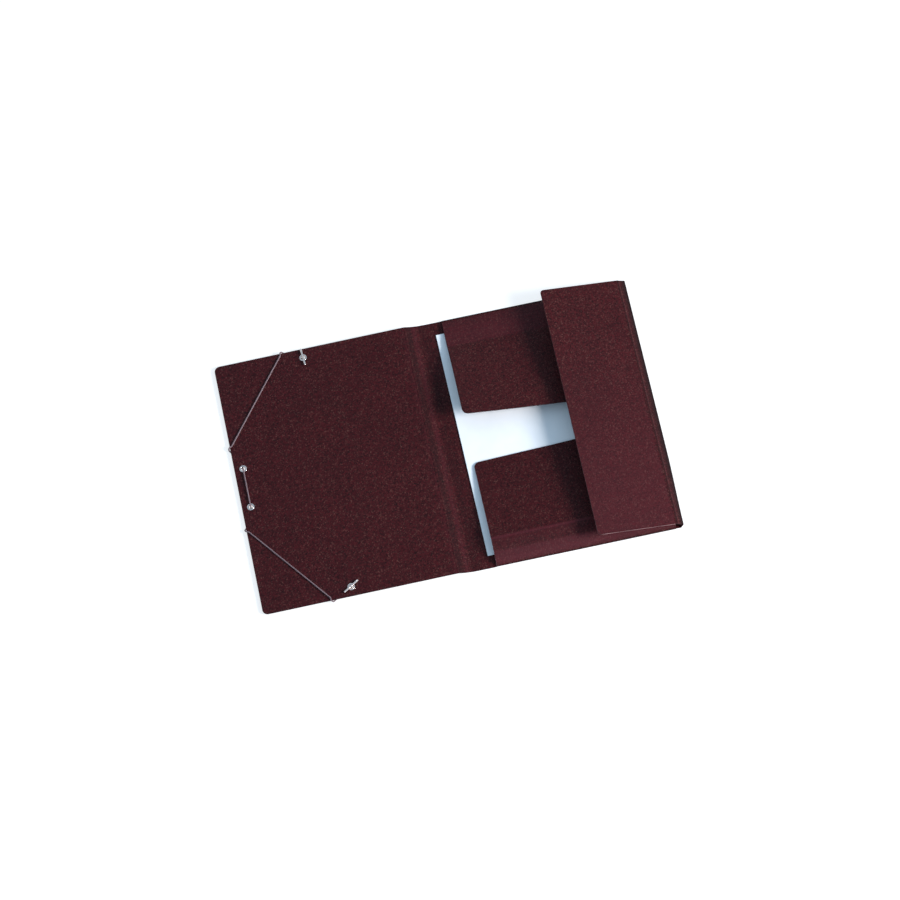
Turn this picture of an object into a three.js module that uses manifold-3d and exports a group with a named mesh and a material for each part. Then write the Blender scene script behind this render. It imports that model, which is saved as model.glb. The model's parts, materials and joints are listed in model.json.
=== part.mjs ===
// Three-flap elastic folder in embossed card, lying open with its flaps folded in.
// Millimetres, +Z up. X = 0 is the crease between spine and back panel, X grows towards
// the side flap, Y = 0 is the bottom edge of the boards and Z = 0 the underside.
import * as THREE from 'three';
import { mergeVertices } from 'three/addons/utils/BufferGeometryUtils.js';
import Module from 'manifold-3d';

const wasm = await Module();
wasm.setup();

// Card boards
const BOARD_HEIGHT = 350;
const COVER_WIDTH = 250;
const BACK_WIDTH = 250;
const CARD = 1.2;
const BOARD_CORNER_RADIUS = 7;

// Clearances
const CREASE_GAP = 0.3;
const SEAT_GAP = 0.25;

// Spine: strips between creases, counted from the back panel, and how far each one
// tips up from flat
const SPINE_STRIP = 9.35;
const SPINE_STRIP_TIPS_DEG = [0, 3, 12, 20];

// Fold where a gusset turns up and back over the panel, radius of the card's middle
const FOLD_RADIUS = 0.9;

// Bottom and top flaps
const FLAP_INSET_LEFT = 12.4;
const FLAP_INSET_RIGHT = 7;
const FLAP_LENGTH = 111;
const FLAP_TAPER = 0.027;
const FLAP_CORNER_RADIUS = 7;
const FLAP_COLUMNS = 10;
const CORNER_COLUMNS = 5;

// Bottom gusset: four strips that rise to a ridge, lower at the side flap's end
const BOTTOM_STRIP = 8.8;
const BOTTOM_STRIP_TIPS_DEG = [34, 24, 16, 8];
const BOTTOM_RIDGE_END_LIFT = 0.68;
const BOTTOM_FREE_EDGE_Z = 3.9;

// Top gusset: four strips that lie almost flat, then the flap stands up at its free end
const TOP_STRIPS = [13.2, 7.6, 7.2, 10.4];
const TOP_STRIP_TIPS_DEG = [5, 1, 1, 2];
const TOP_FREE_EDGE_Z_LEFT = 30.5;
const TOP_FREE_EDGE_Z_RIGHT = 6;
const TOP_CURL_POWER = 1.15;

// Side gusset: two strips, bulging outwards at the crease between them
const SIDE_BEND_RADIUS = 1.2;
const SIDE_STRIPS = [8.0, 8.6];
const SIDE_STRIP_HEADINGS_DEG = [78.7, 139];
const SIDE_END_INSET = 0.8;

// Side flap
const SIDE_FLAP_LENGTH = 103;
const SIDE_FLAP_HEADING_DEG = 170.2;
const SIDE_FLAP_CORNER_RADIUS = 3;
const SIDE_FLAP_CLOSING_DEG = 7;

// Paper in the folder, one stack of folio sheets
const SHEET_WIDTH = 215;
const SHEET_HEIGHT = 315;
const SHEET_STACK = 1.2;
const SHEET_LEFT = 3.1;
const SHEET_CENTRE_Y = 174.9;
const SHEET_TURN_DEG = 0.5;

// Elastic cord, its eyelets and its metal end bars
const CORD_DIAMETER = 1.8;
const CORD_SIDES = 8;
const EYELET_BORE = 3.8;
const EYELET_WALL = 0.45;
const EYELET_FLANGE_DIAMETER = 8;
const EYELET_FLANGE = 0.45;
const EYELET_SEGMENTS = 24;
const CORD_EYELET_INSET = 11.3;
const CORD_EYELET_SPACING = 54;
const END_EYELET_X = 115;
const END_EYELET_INSET = 12.5;
const EDGE_CROSSING_X = 89.3;
const SIDE_CROSSING_OFFSET = 57;
const END_BAR_LENGTH = 24;
const END_BAR_DIAMETER = 2.6;
const END_BAR_TURN_TOP_DEG = 94;
const END_BAR_TURN_BOTTOM_DEG = 32.5;

const CARD_COLOUR = 0x4e2629;
const INNER_CARD_COLOUR = 0x5a3035;
const PAPER_COLOUR = 0xf4f4f6;
const ELASTIC_COLOUR = 0xa08890;
const METAL_COLOUR = 0xcfc8c8;

const radians = THREE.MathUtils.degToRad;
const heading = (degrees) => new THREE.Vector2(Math.cos(radians(degrees)), Math.sin(radians(degrees)));
const leftOf = (direction) => new THREE.Vector2(-direction.y, direction.x);

// Solids

function solidOf(geometry) {
  const bare = geometry.clone();
  bare.deleteAttribute('normal');
  bare.deleteAttribute('uv');
  const merged = mergeVertices(bare, 1e-5);
  const mesh = new wasm.Mesh({
    numProp: 3,
    vertProperties: new Float32Array(merged.attributes.position.array),
    triVerts: new Uint32Array(merged.index.array),
  });
  return new wasm.Manifold(mesh);
}

function geometryOf(solid) {
  const mesh = solid.getMesh();
  const geometry = new THREE.BufferGeometry();
  geometry.setAttribute('position', new THREE.BufferAttribute(new Float32Array(mesh.vertProperties), 3));
  geometry.setIndex(new THREE.BufferAttribute(new Uint32Array(mesh.triVerts), 1));
  geometry.computeVertexNormals();
  return geometry;
}

function signedVolume(points, triangles) {
  let volume = 0;
  for (let k = 0; k < triangles.length; k += 3) {
    const [a, b, c] = [0, 1, 2].map((j) => points[triangles[k + j]]);
    volume += a.dot(b.clone().cross(c)) / 6;
  }
  return volume;
}

// A closed solid through a row of outlines that all have the same number of points.
// outlines: arrays of Vector2, place(point, index): Vector3 of an outline's point.
function loft(outlines, place) {
  const count = outlines[0].length;
  const points = outlines.flatMap((outline, index) => outline.map((point) => place(point, index)));
  const triangles = [];
  for (let s = 0; s < outlines.length - 1; s += 1) {
    for (let k = 0; k < count; k += 1) {
      const next = (k + 1) % count;
      const [a, b] = [s * count + k, s * count + next];
      triangles.push(a, b, b + count, a, b + count, a + count);
    }
  }
  const last = (outlines.length - 1) * count;
  const firstCap = THREE.ShapeUtils.triangulateShape(outlines[0], []);
  const lastCap = THREE.ShapeUtils.triangulateShape(outlines[outlines.length - 1], []);
  // triangulateShape keeps the winding of the outline, which the side walls follow
  for (const [a, b, c] of firstCap) triangles.push(c, b, a);
  for (const [a, b, c] of lastCap) triangles.push(last + a, last + b, last + c);
  if (signedVolume(points, triangles) < 0) triangles.reverse();
  const geometry = new THREE.BufferGeometry();
  geometry.setFromPoints(points);
  geometry.setIndex(triangles);
  geometry.computeVertexNormals();
  return geometry;
}

// The outline of a strip of card whose middle follows a run of points. Each end can be
// cut back, on its right-hand and left-hand face.
function ribbon(middle, startCut = [0, 0], endCut = [0, 0]) {
  const right = [];
  const left = [];
  const lastIndex = middle.length - 1;
  middle.forEach((point, k) => {
    const before = k > 0 ? point.clone().sub(middle[k - 1]).normalize() : null;
    const after = k < lastIndex ? middle[k + 1].clone().sub(point).normalize() : null;
    const along = (before ?? after).clone().add(after ?? before).normalize();
    const reach = CARD / 2 / along.dot(after ?? before);
    const side = leftOf(along).multiplyScalar(reach);
    const cuts = [[0, 0], startCut, endCut][k === 0 ? 1 : k === lastIndex ? 2 : 0];
    const inwards = along.clone().multiplyScalar(k === 0 ? 1 : -1);
    right.push(point.clone().sub(side).addScaledVector(inwards, cuts[0]));
    left.push(point.clone().add(side).addScaledVector(inwards, cuts[1]));
  });
  return [...right, ...left.reverse()];
}

function walk(start, lengths, headings) {
  const points = [start.clone()];
  lengths.forEach((length, k) => {
    points.push(points[k].clone().addScaledVector(heading(headings[k]), length));
  });
  return points;
}

function arc(centre, radius, fromDeg, toDeg, steps) {
  return Array.from({ length: steps + 1 }, (_, k) => (
    centre.clone().addScaledVector(heading(fromDeg + (toDeg - fromDeg) * k / steps), radius)
  ));
}

// Where two strips meet at a crease that turns by an angle, the hollow side is cut back
// so that neither reaches into the other, with room to turn further by a swing.
const mitreCut = (turnDeg, swingDeg = 0) => CARD * Math.tan(radians((turnDeg + swingDeg) / 2));

// Spine

const spineWidths = SPINE_STRIP_TIPS_DEG.map(() => SPINE_STRIP);
const spineHeadings = SPINE_STRIP_TIPS_DEG.map((tip) => 180 - tip);
const spineMiddle = walk(new THREE.Vector2(-CREASE_GAP / 2, CARD / 2), spineWidths, spineHeadings);
const spineEnd = spineMiddle[spineMiddle.length - 1];
const spineEndHeading = spineHeadings[spineHeadings.length - 1];
const coverHinge = spineEnd.clone().addScaledVector(leftOf(heading(spineEndHeading)), -CARD / 2);
const spineHinge = new THREE.Vector2(0, CARD);

// The cord and the eyelet flanges under the cover carry it, so its tilt brings the cord
// under the cord eyelets down to the floor
const flangeFace = SEAT_GAP + EYELET_FLANGE;
const cordOverFlange = flangeFace + SEAT_GAP + CORD_DIAMETER / 2;
const cordOverCard = SEAT_GAP + CORD_DIAMETER / 2;
const cordDepth = CARD + cordOverFlange + CORD_DIAMETER / 2;
const coverTilt = Math.asin((coverHinge.y - cordDepth) / (COVER_WIDTH - CORD_EYELET_INSET));
const coverTurn = 180 + THREE.MathUtils.radToDeg(coverTilt) - spineEndHeading;
const coverCut = CREASE_GAP / 2 + mitreCut(coverTurn);

function makeSpine() {
  const outline = ribbon(spineMiddle, [0, 0], [CREASE_GAP / 2, coverCut]);
  return loft([outline, outline], (point, index) => (
    new THREE.Vector3(point.x, index * BOARD_HEIGHT, point.y)
  ));
}

// Front cover, drawn with its hinge at the origin and its inner face at z = 0

const cordEyeletYs = [1, -1].map((side) => BOARD_HEIGHT / 2 + side * CORD_EYELET_SPACING / 2);
const endEyeletYs = [BOARD_HEIGHT - END_EYELET_INSET, END_EYELET_INSET];
const eyeletPlaces = [
  ...cordEyeletYs.map((y) => new THREE.Vector2(CORD_EYELET_INSET - COVER_WIDTH, y)),
  ...endEyeletYs.map((y) => new THREE.Vector2(END_EYELET_X - COVER_WIDTH, y)),
];
const cardHoleRadius = EYELET_BORE / 2 + EYELET_WALL + SEAT_GAP;

function makeCover() {
  const radius = BOARD_CORNER_RADIUS;
  const shape = new THREE.Shape();
  shape.moveTo(-coverCut, 0);
  shape.lineTo(-coverCut, BOARD_HEIGHT);
  shape.lineTo(-COVER_WIDTH + radius, BOARD_HEIGHT);
  shape.absarc(-COVER_WIDTH + radius, BOARD_HEIGHT - radius, radius, Math.PI / 2, Math.PI, false);
  shape.lineTo(-COVER_WIDTH, radius);
  shape.absarc(-COVER_WIDTH + radius, radius, radius, Math.PI, 1.5 * Math.PI, false);
  for (const place of eyeletPlaces) {
    const hole = new THREE.Path();
    hole.absarc(place.x, place.y, cardHoleRadius, 0, 2 * Math.PI, false);
    shape.holes.push(hole);
  }
  const geometry = new THREE.ExtrudeGeometry(shape, { depth: CARD, bevelEnabled: false, curveSegments: 10 });
  return geometry.translate(0, 0, -CARD);
}

function makeEyelet() {
  const bore = EYELET_BORE / 2;
  const barrel = bore + EYELET_WALL;
  const rim = EYELET_FLANGE_DIAMETER / 2;
  const ease = EYELET_FLANGE * 0.6;
  const [top, bottom] = [flangeFace, -CARD - flangeFace];
  const profile = [
    [bore, bottom + ease],
    [bore + ease, bottom],
    [rim - ease, bottom],
    [rim, bottom + ease],
    [rim, bottom + EYELET_FLANGE],
    [barrel, bottom + EYELET_FLANGE],
    [barrel, top - EYELET_FLANGE],
    [rim, top - EYELET_FLANGE],
    [rim, top - ease],
    [rim - ease, top],
    [bore + ease, top],
    [bore, top - ease],
    [bore, bottom + ease],
  ].map(([r, z]) => new THREE.Vector2(r, z));
  return new THREE.LatheGeometry(profile, EYELET_SEGMENTS).rotateX(Math.PI / 2);
}

// The cord's round bar end, a closed tube of sheet metal with eased rims
function makeEndBar() {
  const radius = END_BAR_DIAMETER / 2;
  const half = END_BAR_LENGTH / 2;
  const ease = radius * 0.35;
  const profile = [
    [0, -half],
    [radius - ease, -half],
    [radius, -half + ease],
    [radius, half - ease],
    [radius - ease, half],
    [0, half],
  ].map(([r, z]) => new THREE.Vector2(r, z));
  return new THREE.LatheGeometry(profile, 16).rotateZ(-Math.PI / 2);
}

// Elastic cord: half its route as a list of points in the cover's frame, from the top end
// bar to the middle of the run between the two cord eyelets; the other half mirrors it

class Route extends THREE.Curve {
  constructor(points) {
    super();
    this.points = points;
  }

  getPoint(t) {
    const place = t * (this.points.length - 1);
    const k = Math.min(Math.floor(place + 1e-9), this.points.length - 2);
    return this.points[k].clone().lerp(this.points[k + 1], place - k);
  }

  getPointAt(t) {
    return this.getPoint(t);
  }

  getTangentAt(t) {
    const k = Math.round(t * (this.points.length - 1));
    const before = this.points[Math.max(k - 1, 0)];
    const here = this.points[k];
    const after = this.points[Math.min(k + 1, this.points.length - 1)];
    const tangent = new THREE.Vector3();
    if (k > 0) tangent.add(here.clone().sub(before).normalize());
    if (k < this.points.length - 1) tangent.add(after.clone().sub(here).normalize());
    return tangent.normalize();
  }
}

const cordRadius = CORD_DIAMETER / 2;
const CORD_BEND = 1.3;

// Quarter turn between a vertical run through a bore and a level run on one face
function boreBend(centre, towards, levelZ, upwards) {
  const steps = 4;
  return Array.from({ length: steps + 1 }, (_, k) => {
    const angle = (Math.PI / 2) * (k / steps);
    const out = CORD_BEND * (1 - Math.cos(angle));
    const drop = CORD_BEND * (1 - Math.sin(angle));
    return new THREE.Vector3(
      centre.x + towards.x * out,
      centre.y + towards.y * out,
      levelZ + (upwards ? drop : -drop),
    );
  });
}

// Half turn round an edge of the card, from its underside to its inner face
function edgeWrap(crossing, outwards, drift) {
  const steps = 6;
  const reach = CARD / 2 + cordOverCard;
  return Array.from({ length: steps + 1 }, (_, k) => {
    const angle = -Math.PI / 2 + (Math.PI * k) / steps;
    const slide = drift.clone().multiplyScalar(k / steps - 0.5);
    return new THREE.Vector3(
      crossing.x + outwards.x * reach * Math.cos(angle) + slide.x,
      crossing.y + outwards.y * reach * Math.cos(angle) + slide.y,
      -CARD / 2 + reach * Math.sin(angle),
    );
  });
}

function cordRoute() {
  const endHole = new THREE.Vector2(END_EYELET_X, endEyeletYs[0]);
  const topCrossing = new THREE.Vector2(EDGE_CROSSING_X, BOARD_HEIGHT);
  const sideCrossing = new THREE.Vector2(0, BOARD_HEIGHT / 2 + SIDE_CROSSING_OFFSET);
  const cordHole = new THREE.Vector2(CORD_EYELET_INSET, cordEyeletYs[0]);
  const underEyelet = -CARD - cordOverFlange;
  const towardsTop = topCrossing.clone().sub(endHole).normalize();
  const towardsSide = sideCrossing.clone().sub(cordHole).normalize();
  const along = new THREE.Vector2(0, -1);
  const pastFlange = EYELET_FLANGE_DIAMETER / 2 + 2;
  const at = (place, z) => new THREE.Vector3(place.x, place.y, z);
  const half = [
    at(endHole, flangeFace - SEAT_GAP / 2),
    at(endHole, -CARD / 2),
    ...boreBend(endHole, towardsTop, underEyelet, true),
    at(endHole.clone().addScaledVector(towardsTop, pastFlange), underEyelet),
    ...edgeWrap(topCrossing, new THREE.Vector2(0, 1), new THREE.Vector2(-2.4, 0)),
    at(topCrossing.clone().lerp(sideCrossing, 0.06), cordOverCard),
    at(topCrossing.clone().lerp(sideCrossing, 0.35), cordOverCard),
    at(topCrossing.clone().lerp(sideCrossing, 0.65), cordOverCard),
    at(topCrossing.clone().lerp(sideCrossing, 0.94), cordOverCard),
    ...edgeWrap(sideCrossing, new THREE.Vector2(-1, 0), new THREE.Vector2(0, 2.6)).reverse(),
    at(cordHole.clone().addScaledVector(towardsSide, pastFlange), underEyelet),
    ...boreBend(cordHole, towardsSide, underEyelet, true).reverse(),
    at(cordHole, -CARD / 2),
    ...boreBend(cordHole, along, cordOverFlange, false),
    at(cordHole.clone().addScaledVector(along, pastFlange), cordOverFlange),
  ];
  const mirrored = half.map((p) => new THREE.Vector3(p.x, BOARD_HEIGHT - p.y, p.z)).reverse();
  return [...half, ...mirrored].map((p) => p.setX(p.x - COVER_WIDTH));
}

function makeCord() {
  const section = new THREE.Shape(
    Array.from({ length: CORD_SIDES }, (_, k) => {
      const angle = (2 * Math.PI * k) / CORD_SIDES;
      return new THREE.Vector2(cordRadius * Math.cos(angle), cordRadius * Math.sin(angle));
    }),
  );
  const points = cordRoute();
  return new THREE.ExtrudeGeometry(section, {
    steps: points.length - 1,
    extrudePath: new Route(points),
    bevelEnabled: false,
  });
}

// Back panel with its side gusset, and the bottom and top flaps folded in over it

const flapLeft = FLAP_INSET_LEFT;
const flapRight = BACK_WIDTH - FLAP_INSET_RIGHT;
const foldReach = FOLD_RADIUS + CARD / 2;

// Columns across a flap, close together where the rounded corner turns
const flapColumns = [
  ...Array.from({ length: CORNER_COLUMNS }, (_, k) => (
    flapLeft + FLAP_CORNER_RADIUS * (1 - Math.cos((Math.PI / 2) * (k / CORNER_COLUMNS)))
  )),
  ...Array.from({ length: FLAP_COLUMNS + 1 }, (_, k) => (
    flapLeft + FLAP_CORNER_RADIUS + (flapRight - flapLeft - FLAP_CORNER_RADIUS) * (k / FLAP_COLUMNS)
  )),
];

// A quarter circle takes this much off a flap's length near its free corner
function cornerLoss(distance, radius) {
  if (distance >= radius) return 0;
  return radius - Math.sqrt(Math.max(0, radius ** 2 - (radius - distance) ** 2));
}

const flapLengthAt = (x) => FLAP_LENGTH + FLAP_TAPER * (x - flapLeft);
const acrossFlap = (x) => (x - flapLeft) / (flapRight - flapLeft);

// Middle line of a folded flap at one column, as distance in from the board's edge and
// height: out along the panel, round the fold, over the gusset strips, to the free edge
function flapMiddle(x, strips, tips, freeEdgeZ) {
  const foldCentre = new THREE.Vector2(foldReach, CARD / 2 + FOLD_RADIUS);
  const anchor = new THREE.Vector2(foldReach + CARD, CARD / 2);
  const fold = arc(foldCentre, FOLD_RADIUS, -90, -270 + tips[0], 6);
  const gusset = walk(fold.pop(), strips, tips);
  const crease = gusset[gusset.length - 1];
  const fullLength = flapLengthAt(x);
  const rise = freeEdgeZ - crease.y;
  const run = Math.sqrt(fullLength ** 2 - rise ** 2);
  const kept = 1 - cornerLoss(x - flapLeft, FLAP_CORNER_RADIUS) / fullLength;
  const freeEdge = new THREE.Vector2(crease.x + run * kept, crease.y + rise * kept);
  return [anchor, ...fold, ...gusset, crease.clone().lerp(freeEdge, 0.5), freeEdge];
}

function bottomMiddle(x) {
  const lift = 1 - (1 - BOTTOM_RIDGE_END_LIFT) * THREE.MathUtils.smoothstep(acrossFlap(x), 0.4, 1);
  const tips = BOTTOM_STRIP_TIPS_DEG.map((tip) => tip * lift);
  return flapMiddle(x, tips.map(() => BOTTOM_STRIP), tips, BOTTOM_FREE_EDGE_Z);
}

function topMiddle(x) {
  const curl = (1 - acrossFlap(x)) ** TOP_CURL_POWER;
  const freeEdgeZ = TOP_FREE_EDGE_Z_RIGHT + (TOP_FREE_EDGE_Z_LEFT - TOP_FREE_EDGE_Z_RIGHT) * curl;
  return flapMiddle(x, TOP_STRIPS, TOP_STRIP_TIPS_DEG, freeEdgeZ);
}

// fromTop measures a flap in from the boards' top edge, else from their bottom edge
function makeFlap(middleAt, fromTop) {
  return loft(flapColumns.map((x) => ribbon(middleAt(x))), (point, index) => (
    new THREE.Vector3(flapColumns[index], fromTop ? BOARD_HEIGHT - point.x : point.x, point.y)
  ));
}

const sideBendCentre = new THREE.Vector2(BACK_WIDTH - SIDE_BEND_RADIUS, CARD / 2 + SIDE_BEND_RADIUS);
const sideBend = arc(sideBendCentre, SIDE_BEND_RADIUS, -90, SIDE_STRIP_HEADINGS_DEG[0] - 90, 5);
const sideGusset = walk(sideBend[sideBend.length - 1], SIDE_STRIPS, SIDE_STRIP_HEADINGS_DEG);
const sideGussetEnd = sideGusset[sideGusset.length - 1];
const sideGussetHeading = SIDE_STRIP_HEADINGS_DEG[SIDE_STRIP_HEADINGS_DEG.length - 1];
const sideHinge = sideGussetEnd.clone().addScaledVector(leftOf(heading(sideGussetHeading)), -CARD / 2);
const sideCut = mitreCut(SIDE_FLAP_HEADING_DEG - sideGussetHeading, SIDE_FLAP_CLOSING_DEG);
const sideY = [SIDE_END_INSET, BOARD_HEIGHT - SIDE_END_INSET];

function makeSideGusset() {
  const anchor = new THREE.Vector2(sideBendCentre.x - CARD, CARD / 2);
  const middle = [anchor, ...sideBend, ...sideGusset.slice(1)];
  const outline = ribbon(middle, [0, 0], [CREASE_GAP / 2, CREASE_GAP / 2 + sideCut]);
  return loft([outline, outline], (point, index) => new THREE.Vector3(point.x, sideY[index], point.y));
}

function makePanel() {
  const right = sideBendCentre.x;
  const left = CREASE_GAP / 2;
  const shape = new THREE.Shape([
    new THREE.Vector2(left, 0),
    new THREE.Vector2(flapLeft, 0),
    new THREE.Vector2(flapLeft, foldReach),
    new THREE.Vector2(flapRight, foldReach),
    new THREE.Vector2(flapRight, 0),
    new THREE.Vector2(right, 0),
    new THREE.Vector2(right, BOARD_HEIGHT),
    new THREE.Vector2(flapRight, BOARD_HEIGHT),
    new THREE.Vector2(flapRight, BOARD_HEIGHT - foldReach),
    new THREE.Vector2(flapLeft, BOARD_HEIGHT - foldReach),
    new THREE.Vector2(flapLeft, BOARD_HEIGHT),
    new THREE.Vector2(left, BOARD_HEIGHT),
  ]);
  return new THREE.ExtrudeGeometry(shape, { depth: CARD, bevelEnabled: false });
}

function makeBack() {
  const bottomFlap = solidOf(makeFlap(bottomMiddle, false));
  const topFlap = solidOf(makeFlap(topMiddle, true));
  const folded = solidOf(makePanel()).add(solidOf(makeSideGusset())).add(bottomFlap).add(topFlap);
  return geometryOf(folded);
}

// Side flap, drawn at rest with its free edge raised

function makeSideFlap() {
  const direction = heading(SIDE_FLAP_HEADING_DEG);
  const start = sideHinge.clone().addScaledVector(leftOf(direction), CARD / 2);
  const radius = SIDE_FLAP_CORNER_RADIUS;
  const [low, high] = sideY;
  const corner = Array.from({ length: CORNER_COLUMNS }, (_, k) => (
    radius * (1 - Math.cos((Math.PI / 2) * (k / CORNER_COLUMNS)))
  ));
  const rows = [
    ...corner.map((distance) => low + distance),
    low + radius,
    high - radius,
    ...corner.map((distance) => high - distance).reverse(),
  ];
  const outlines = rows.map((y) => {
    const reach = SIDE_FLAP_LENGTH - cornerLoss(Math.min(y - low, high - y), radius);
    const end = start.clone().addScaledVector(direction, reach);
    return ribbon([start, end], [CREASE_GAP / 2, CREASE_GAP / 2 + sideCut]);
  });
  return loft(outlines, (point, index) => new THREE.Vector3(point.x, rows[index], point.y));
}

function makeSheets() {
  return new THREE.BoxGeometry(SHEET_WIDTH, SHEET_HEIGHT, SHEET_STACK);
}

// Assembly

const cardMaterial = new THREE.MeshStandardMaterial({ color: CARD_COLOUR, roughness: 0.62, metalness: 0 });
const foldedMaterial = new THREE.MeshStandardMaterial({ color: INNER_CARD_COLOUR, roughness: 0.6, metalness: 0 });
const paperMaterial = new THREE.MeshStandardMaterial({ color: PAPER_COLOUR, roughness: 0.85, metalness: 0 });
const elasticMaterial = new THREE.MeshStandardMaterial({ color: ELASTIC_COLOUR, roughness: 0.8, metalness: 0 });
const metalMaterial = new THREE.MeshStandardMaterial({ color: METAL_COLOUR, roughness: 0.28, metalness: 1 });

function named(name, geometry, material) {
  const mesh = new THREE.Mesh(geometry, material);
  mesh.name = name;
  return mesh;
}

// The cover's group turns on the crease at the spine, with what the cover carries
const coverGroup = new THREE.Group();
coverGroup.position.set(coverHinge.x, 0, coverHinge.y);
coverGroup.rotation.y = -coverTilt;
coverGroup.add(named('front_cover', makeCover(), cardMaterial));
coverGroup.add(named('elastic_cord', makeCord(), elasticMaterial));

const eyeletNames = ['cord_eyelet_upper', 'cord_eyelet_lower', 'end_eyelet_top', 'end_eyelet_bottom'];
eyeletNames.forEach((name, k) => {
  const eyelet = named(name, makeEyelet(), metalMaterial);
  eyelet.position.set(eyeletPlaces[k].x, eyeletPlaces[k].y, 0);
  coverGroup.add(eyelet);
});

const endBarZ = flangeFace + SEAT_GAP + END_BAR_DIAMETER / 2;
const endBars = [
  ['cord_end_bar_top', endEyeletYs[0], END_BAR_TURN_TOP_DEG],
  ['cord_end_bar_bottom', endEyeletYs[1], END_BAR_TURN_BOTTOM_DEG],
];
for (const [name, y, turn] of endBars) {
  const bar = named(name, makeEndBar(), metalMaterial);
  bar.position.set(END_EYELET_X - COVER_WIDTH, y, endBarZ);
  bar.rotation.z = radians(turn);
  coverGroup.add(bar);
}

const sheets = named('paper_sheets', makeSheets(), paperMaterial);
sheets.position.set(SHEET_LEFT + SHEET_WIDTH / 2, SHEET_CENTRE_Y, CARD + SEAT_GAP + SHEET_STACK / 2);
sheets.rotation.z = radians(SHEET_TURN_DEG);

const folder = new THREE.Group();
folder.add(coverGroup);
folder.add(named('spine', makeSpine(), cardMaterial));
folder.add(named('back_panel', makeBack(), foldedMaterial));
folder.add(named('side_flap', makeSideFlap(), foldedMaterial));
folder.add(sheets);

// The part's origin is the middle of its box, at its lowest point
folder.updateMatrixWorld(true);
const box = new THREE.Box3().setFromObject(folder, true);
folder.position.set(-(box.min.x + box.max.x) / 2, -(box.min.y + box.max.y) / 2, -box.min.z);

export { box, coverHinge, spineHinge, sideHinge, coverTilt };
export default folder;
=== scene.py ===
"""Dresses the open three-flap elastic folder: embossed card boards with soft creases, folded
flaps, a stack of paper, a braided elastic cord and nickel fittings, in a white studio."""

from __future__ import annotations

import json
import logging
import math
from dataclasses import dataclass
from enum import Enum

import bmesh
import bpy
import numpy as np
from mathutils import Matrix, Vector

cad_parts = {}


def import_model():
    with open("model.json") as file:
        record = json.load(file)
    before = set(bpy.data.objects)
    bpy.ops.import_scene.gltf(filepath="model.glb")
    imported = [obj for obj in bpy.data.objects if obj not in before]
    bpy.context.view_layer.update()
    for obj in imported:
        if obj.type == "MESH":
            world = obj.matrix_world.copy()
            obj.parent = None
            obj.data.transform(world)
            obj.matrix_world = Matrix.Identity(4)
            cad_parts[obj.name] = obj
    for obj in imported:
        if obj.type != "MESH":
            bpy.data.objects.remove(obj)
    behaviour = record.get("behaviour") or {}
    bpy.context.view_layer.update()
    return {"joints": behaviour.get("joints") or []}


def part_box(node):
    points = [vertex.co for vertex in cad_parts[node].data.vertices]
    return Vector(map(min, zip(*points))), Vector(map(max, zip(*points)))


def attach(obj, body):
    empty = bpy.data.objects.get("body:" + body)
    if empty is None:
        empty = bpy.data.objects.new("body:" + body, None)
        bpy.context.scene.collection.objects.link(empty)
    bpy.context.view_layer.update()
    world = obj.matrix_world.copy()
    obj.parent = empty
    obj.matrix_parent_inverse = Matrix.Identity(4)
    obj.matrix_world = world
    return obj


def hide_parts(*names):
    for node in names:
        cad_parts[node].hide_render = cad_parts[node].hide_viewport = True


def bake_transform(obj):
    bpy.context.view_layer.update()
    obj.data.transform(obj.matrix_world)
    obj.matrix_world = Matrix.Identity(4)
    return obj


log = logging.getLogger("folder")

MM = 0.001
SAME_POINT = 1e-7
PHOTO_SIDE_PX = 900
SENSOR_MM = 36.0
CREASE_DEPTH = 0.15 * MM
CREASE_WIDTH = 0.7 * MM
CORNER_SAMPLES = 9

Array = np.ndarray
Colour = tuple[float, float, float]
Material = bpy.types.Material
Piece = bpy.types.Object
Socket = bpy.types.NodeSocket


class Side(Enum):
    """The four sides of a sheet's grid, by the parameter that is constant along each."""

    U_START = "u_start"
    U_END = "u_end"
    V_START = "v_start"
    V_END = "v_end"


class Board(Enum):
    """The stretches of the card's line across the open folder."""

    COVER = "cover"
    COVER_CREASE = "cover_crease"
    SPINE = "spine"
    BACK_CREASE = "back_crease"
    BACK = "back"
    SIDE_CREASE = "side_crease"
    SIDE_FLAP = "side_flap"


# Small numeric helpers


def unit(vectors: Array) -> Array:
    """Scales vectors along the last axis to length one."""
    length = np.linalg.norm(vectors, axis=-1, keepdims=True)
    return vectors / np.maximum(length, 1e-12)


def clustered(start: float, end: float, count: int) -> Array:
    """Positions from start to end that crowd towards both ends, by half a cosine wave."""
    share = 0.5 - 0.5 * np.cos(np.linspace(0.0, math.pi, count))
    return start + (end - start) * share


def corner_loss(distance: Array, radius: float) -> Array:
    """How far a corner's circle cuts into an edge, at a distance from the other edge."""
    inside = np.clip(radius - distance, 0.0, radius)
    return radius - np.sqrt(radius**2 - inside**2)


def corner_steps(radius: float) -> Array:
    """Distances from an edge that lie evenly round its corner's quarter circle."""
    return radius * (1.0 - np.cos(np.linspace(0.0, math.pi / 2, CORNER_SAMPLES)))


def bell(s: Array, middle: float, width: float) -> Array:
    """The bell curve exp(-t^2) of the distance t from the middle, in widths."""
    return np.exp(-(((s - middle) / width) ** 2))


def smooth_step(value: Array | float, start: float, end: float) -> Array:
    """The cubic 3t^2 - 2t^3 of the share of value between start and end."""
    share = np.clip((np.asarray(value) - start) / (end - start), 0.0, 1.0)
    return share * share * (3.0 - 2.0 * share)


# Meshes


def shade_smooth(mesh: bpy.types.Mesh) -> None:
    """Shades every face of a mesh smooth."""
    mesh.polygons.foreach_set("use_smooth", np.ones(len(mesh.polygons), dtype=bool))


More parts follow.
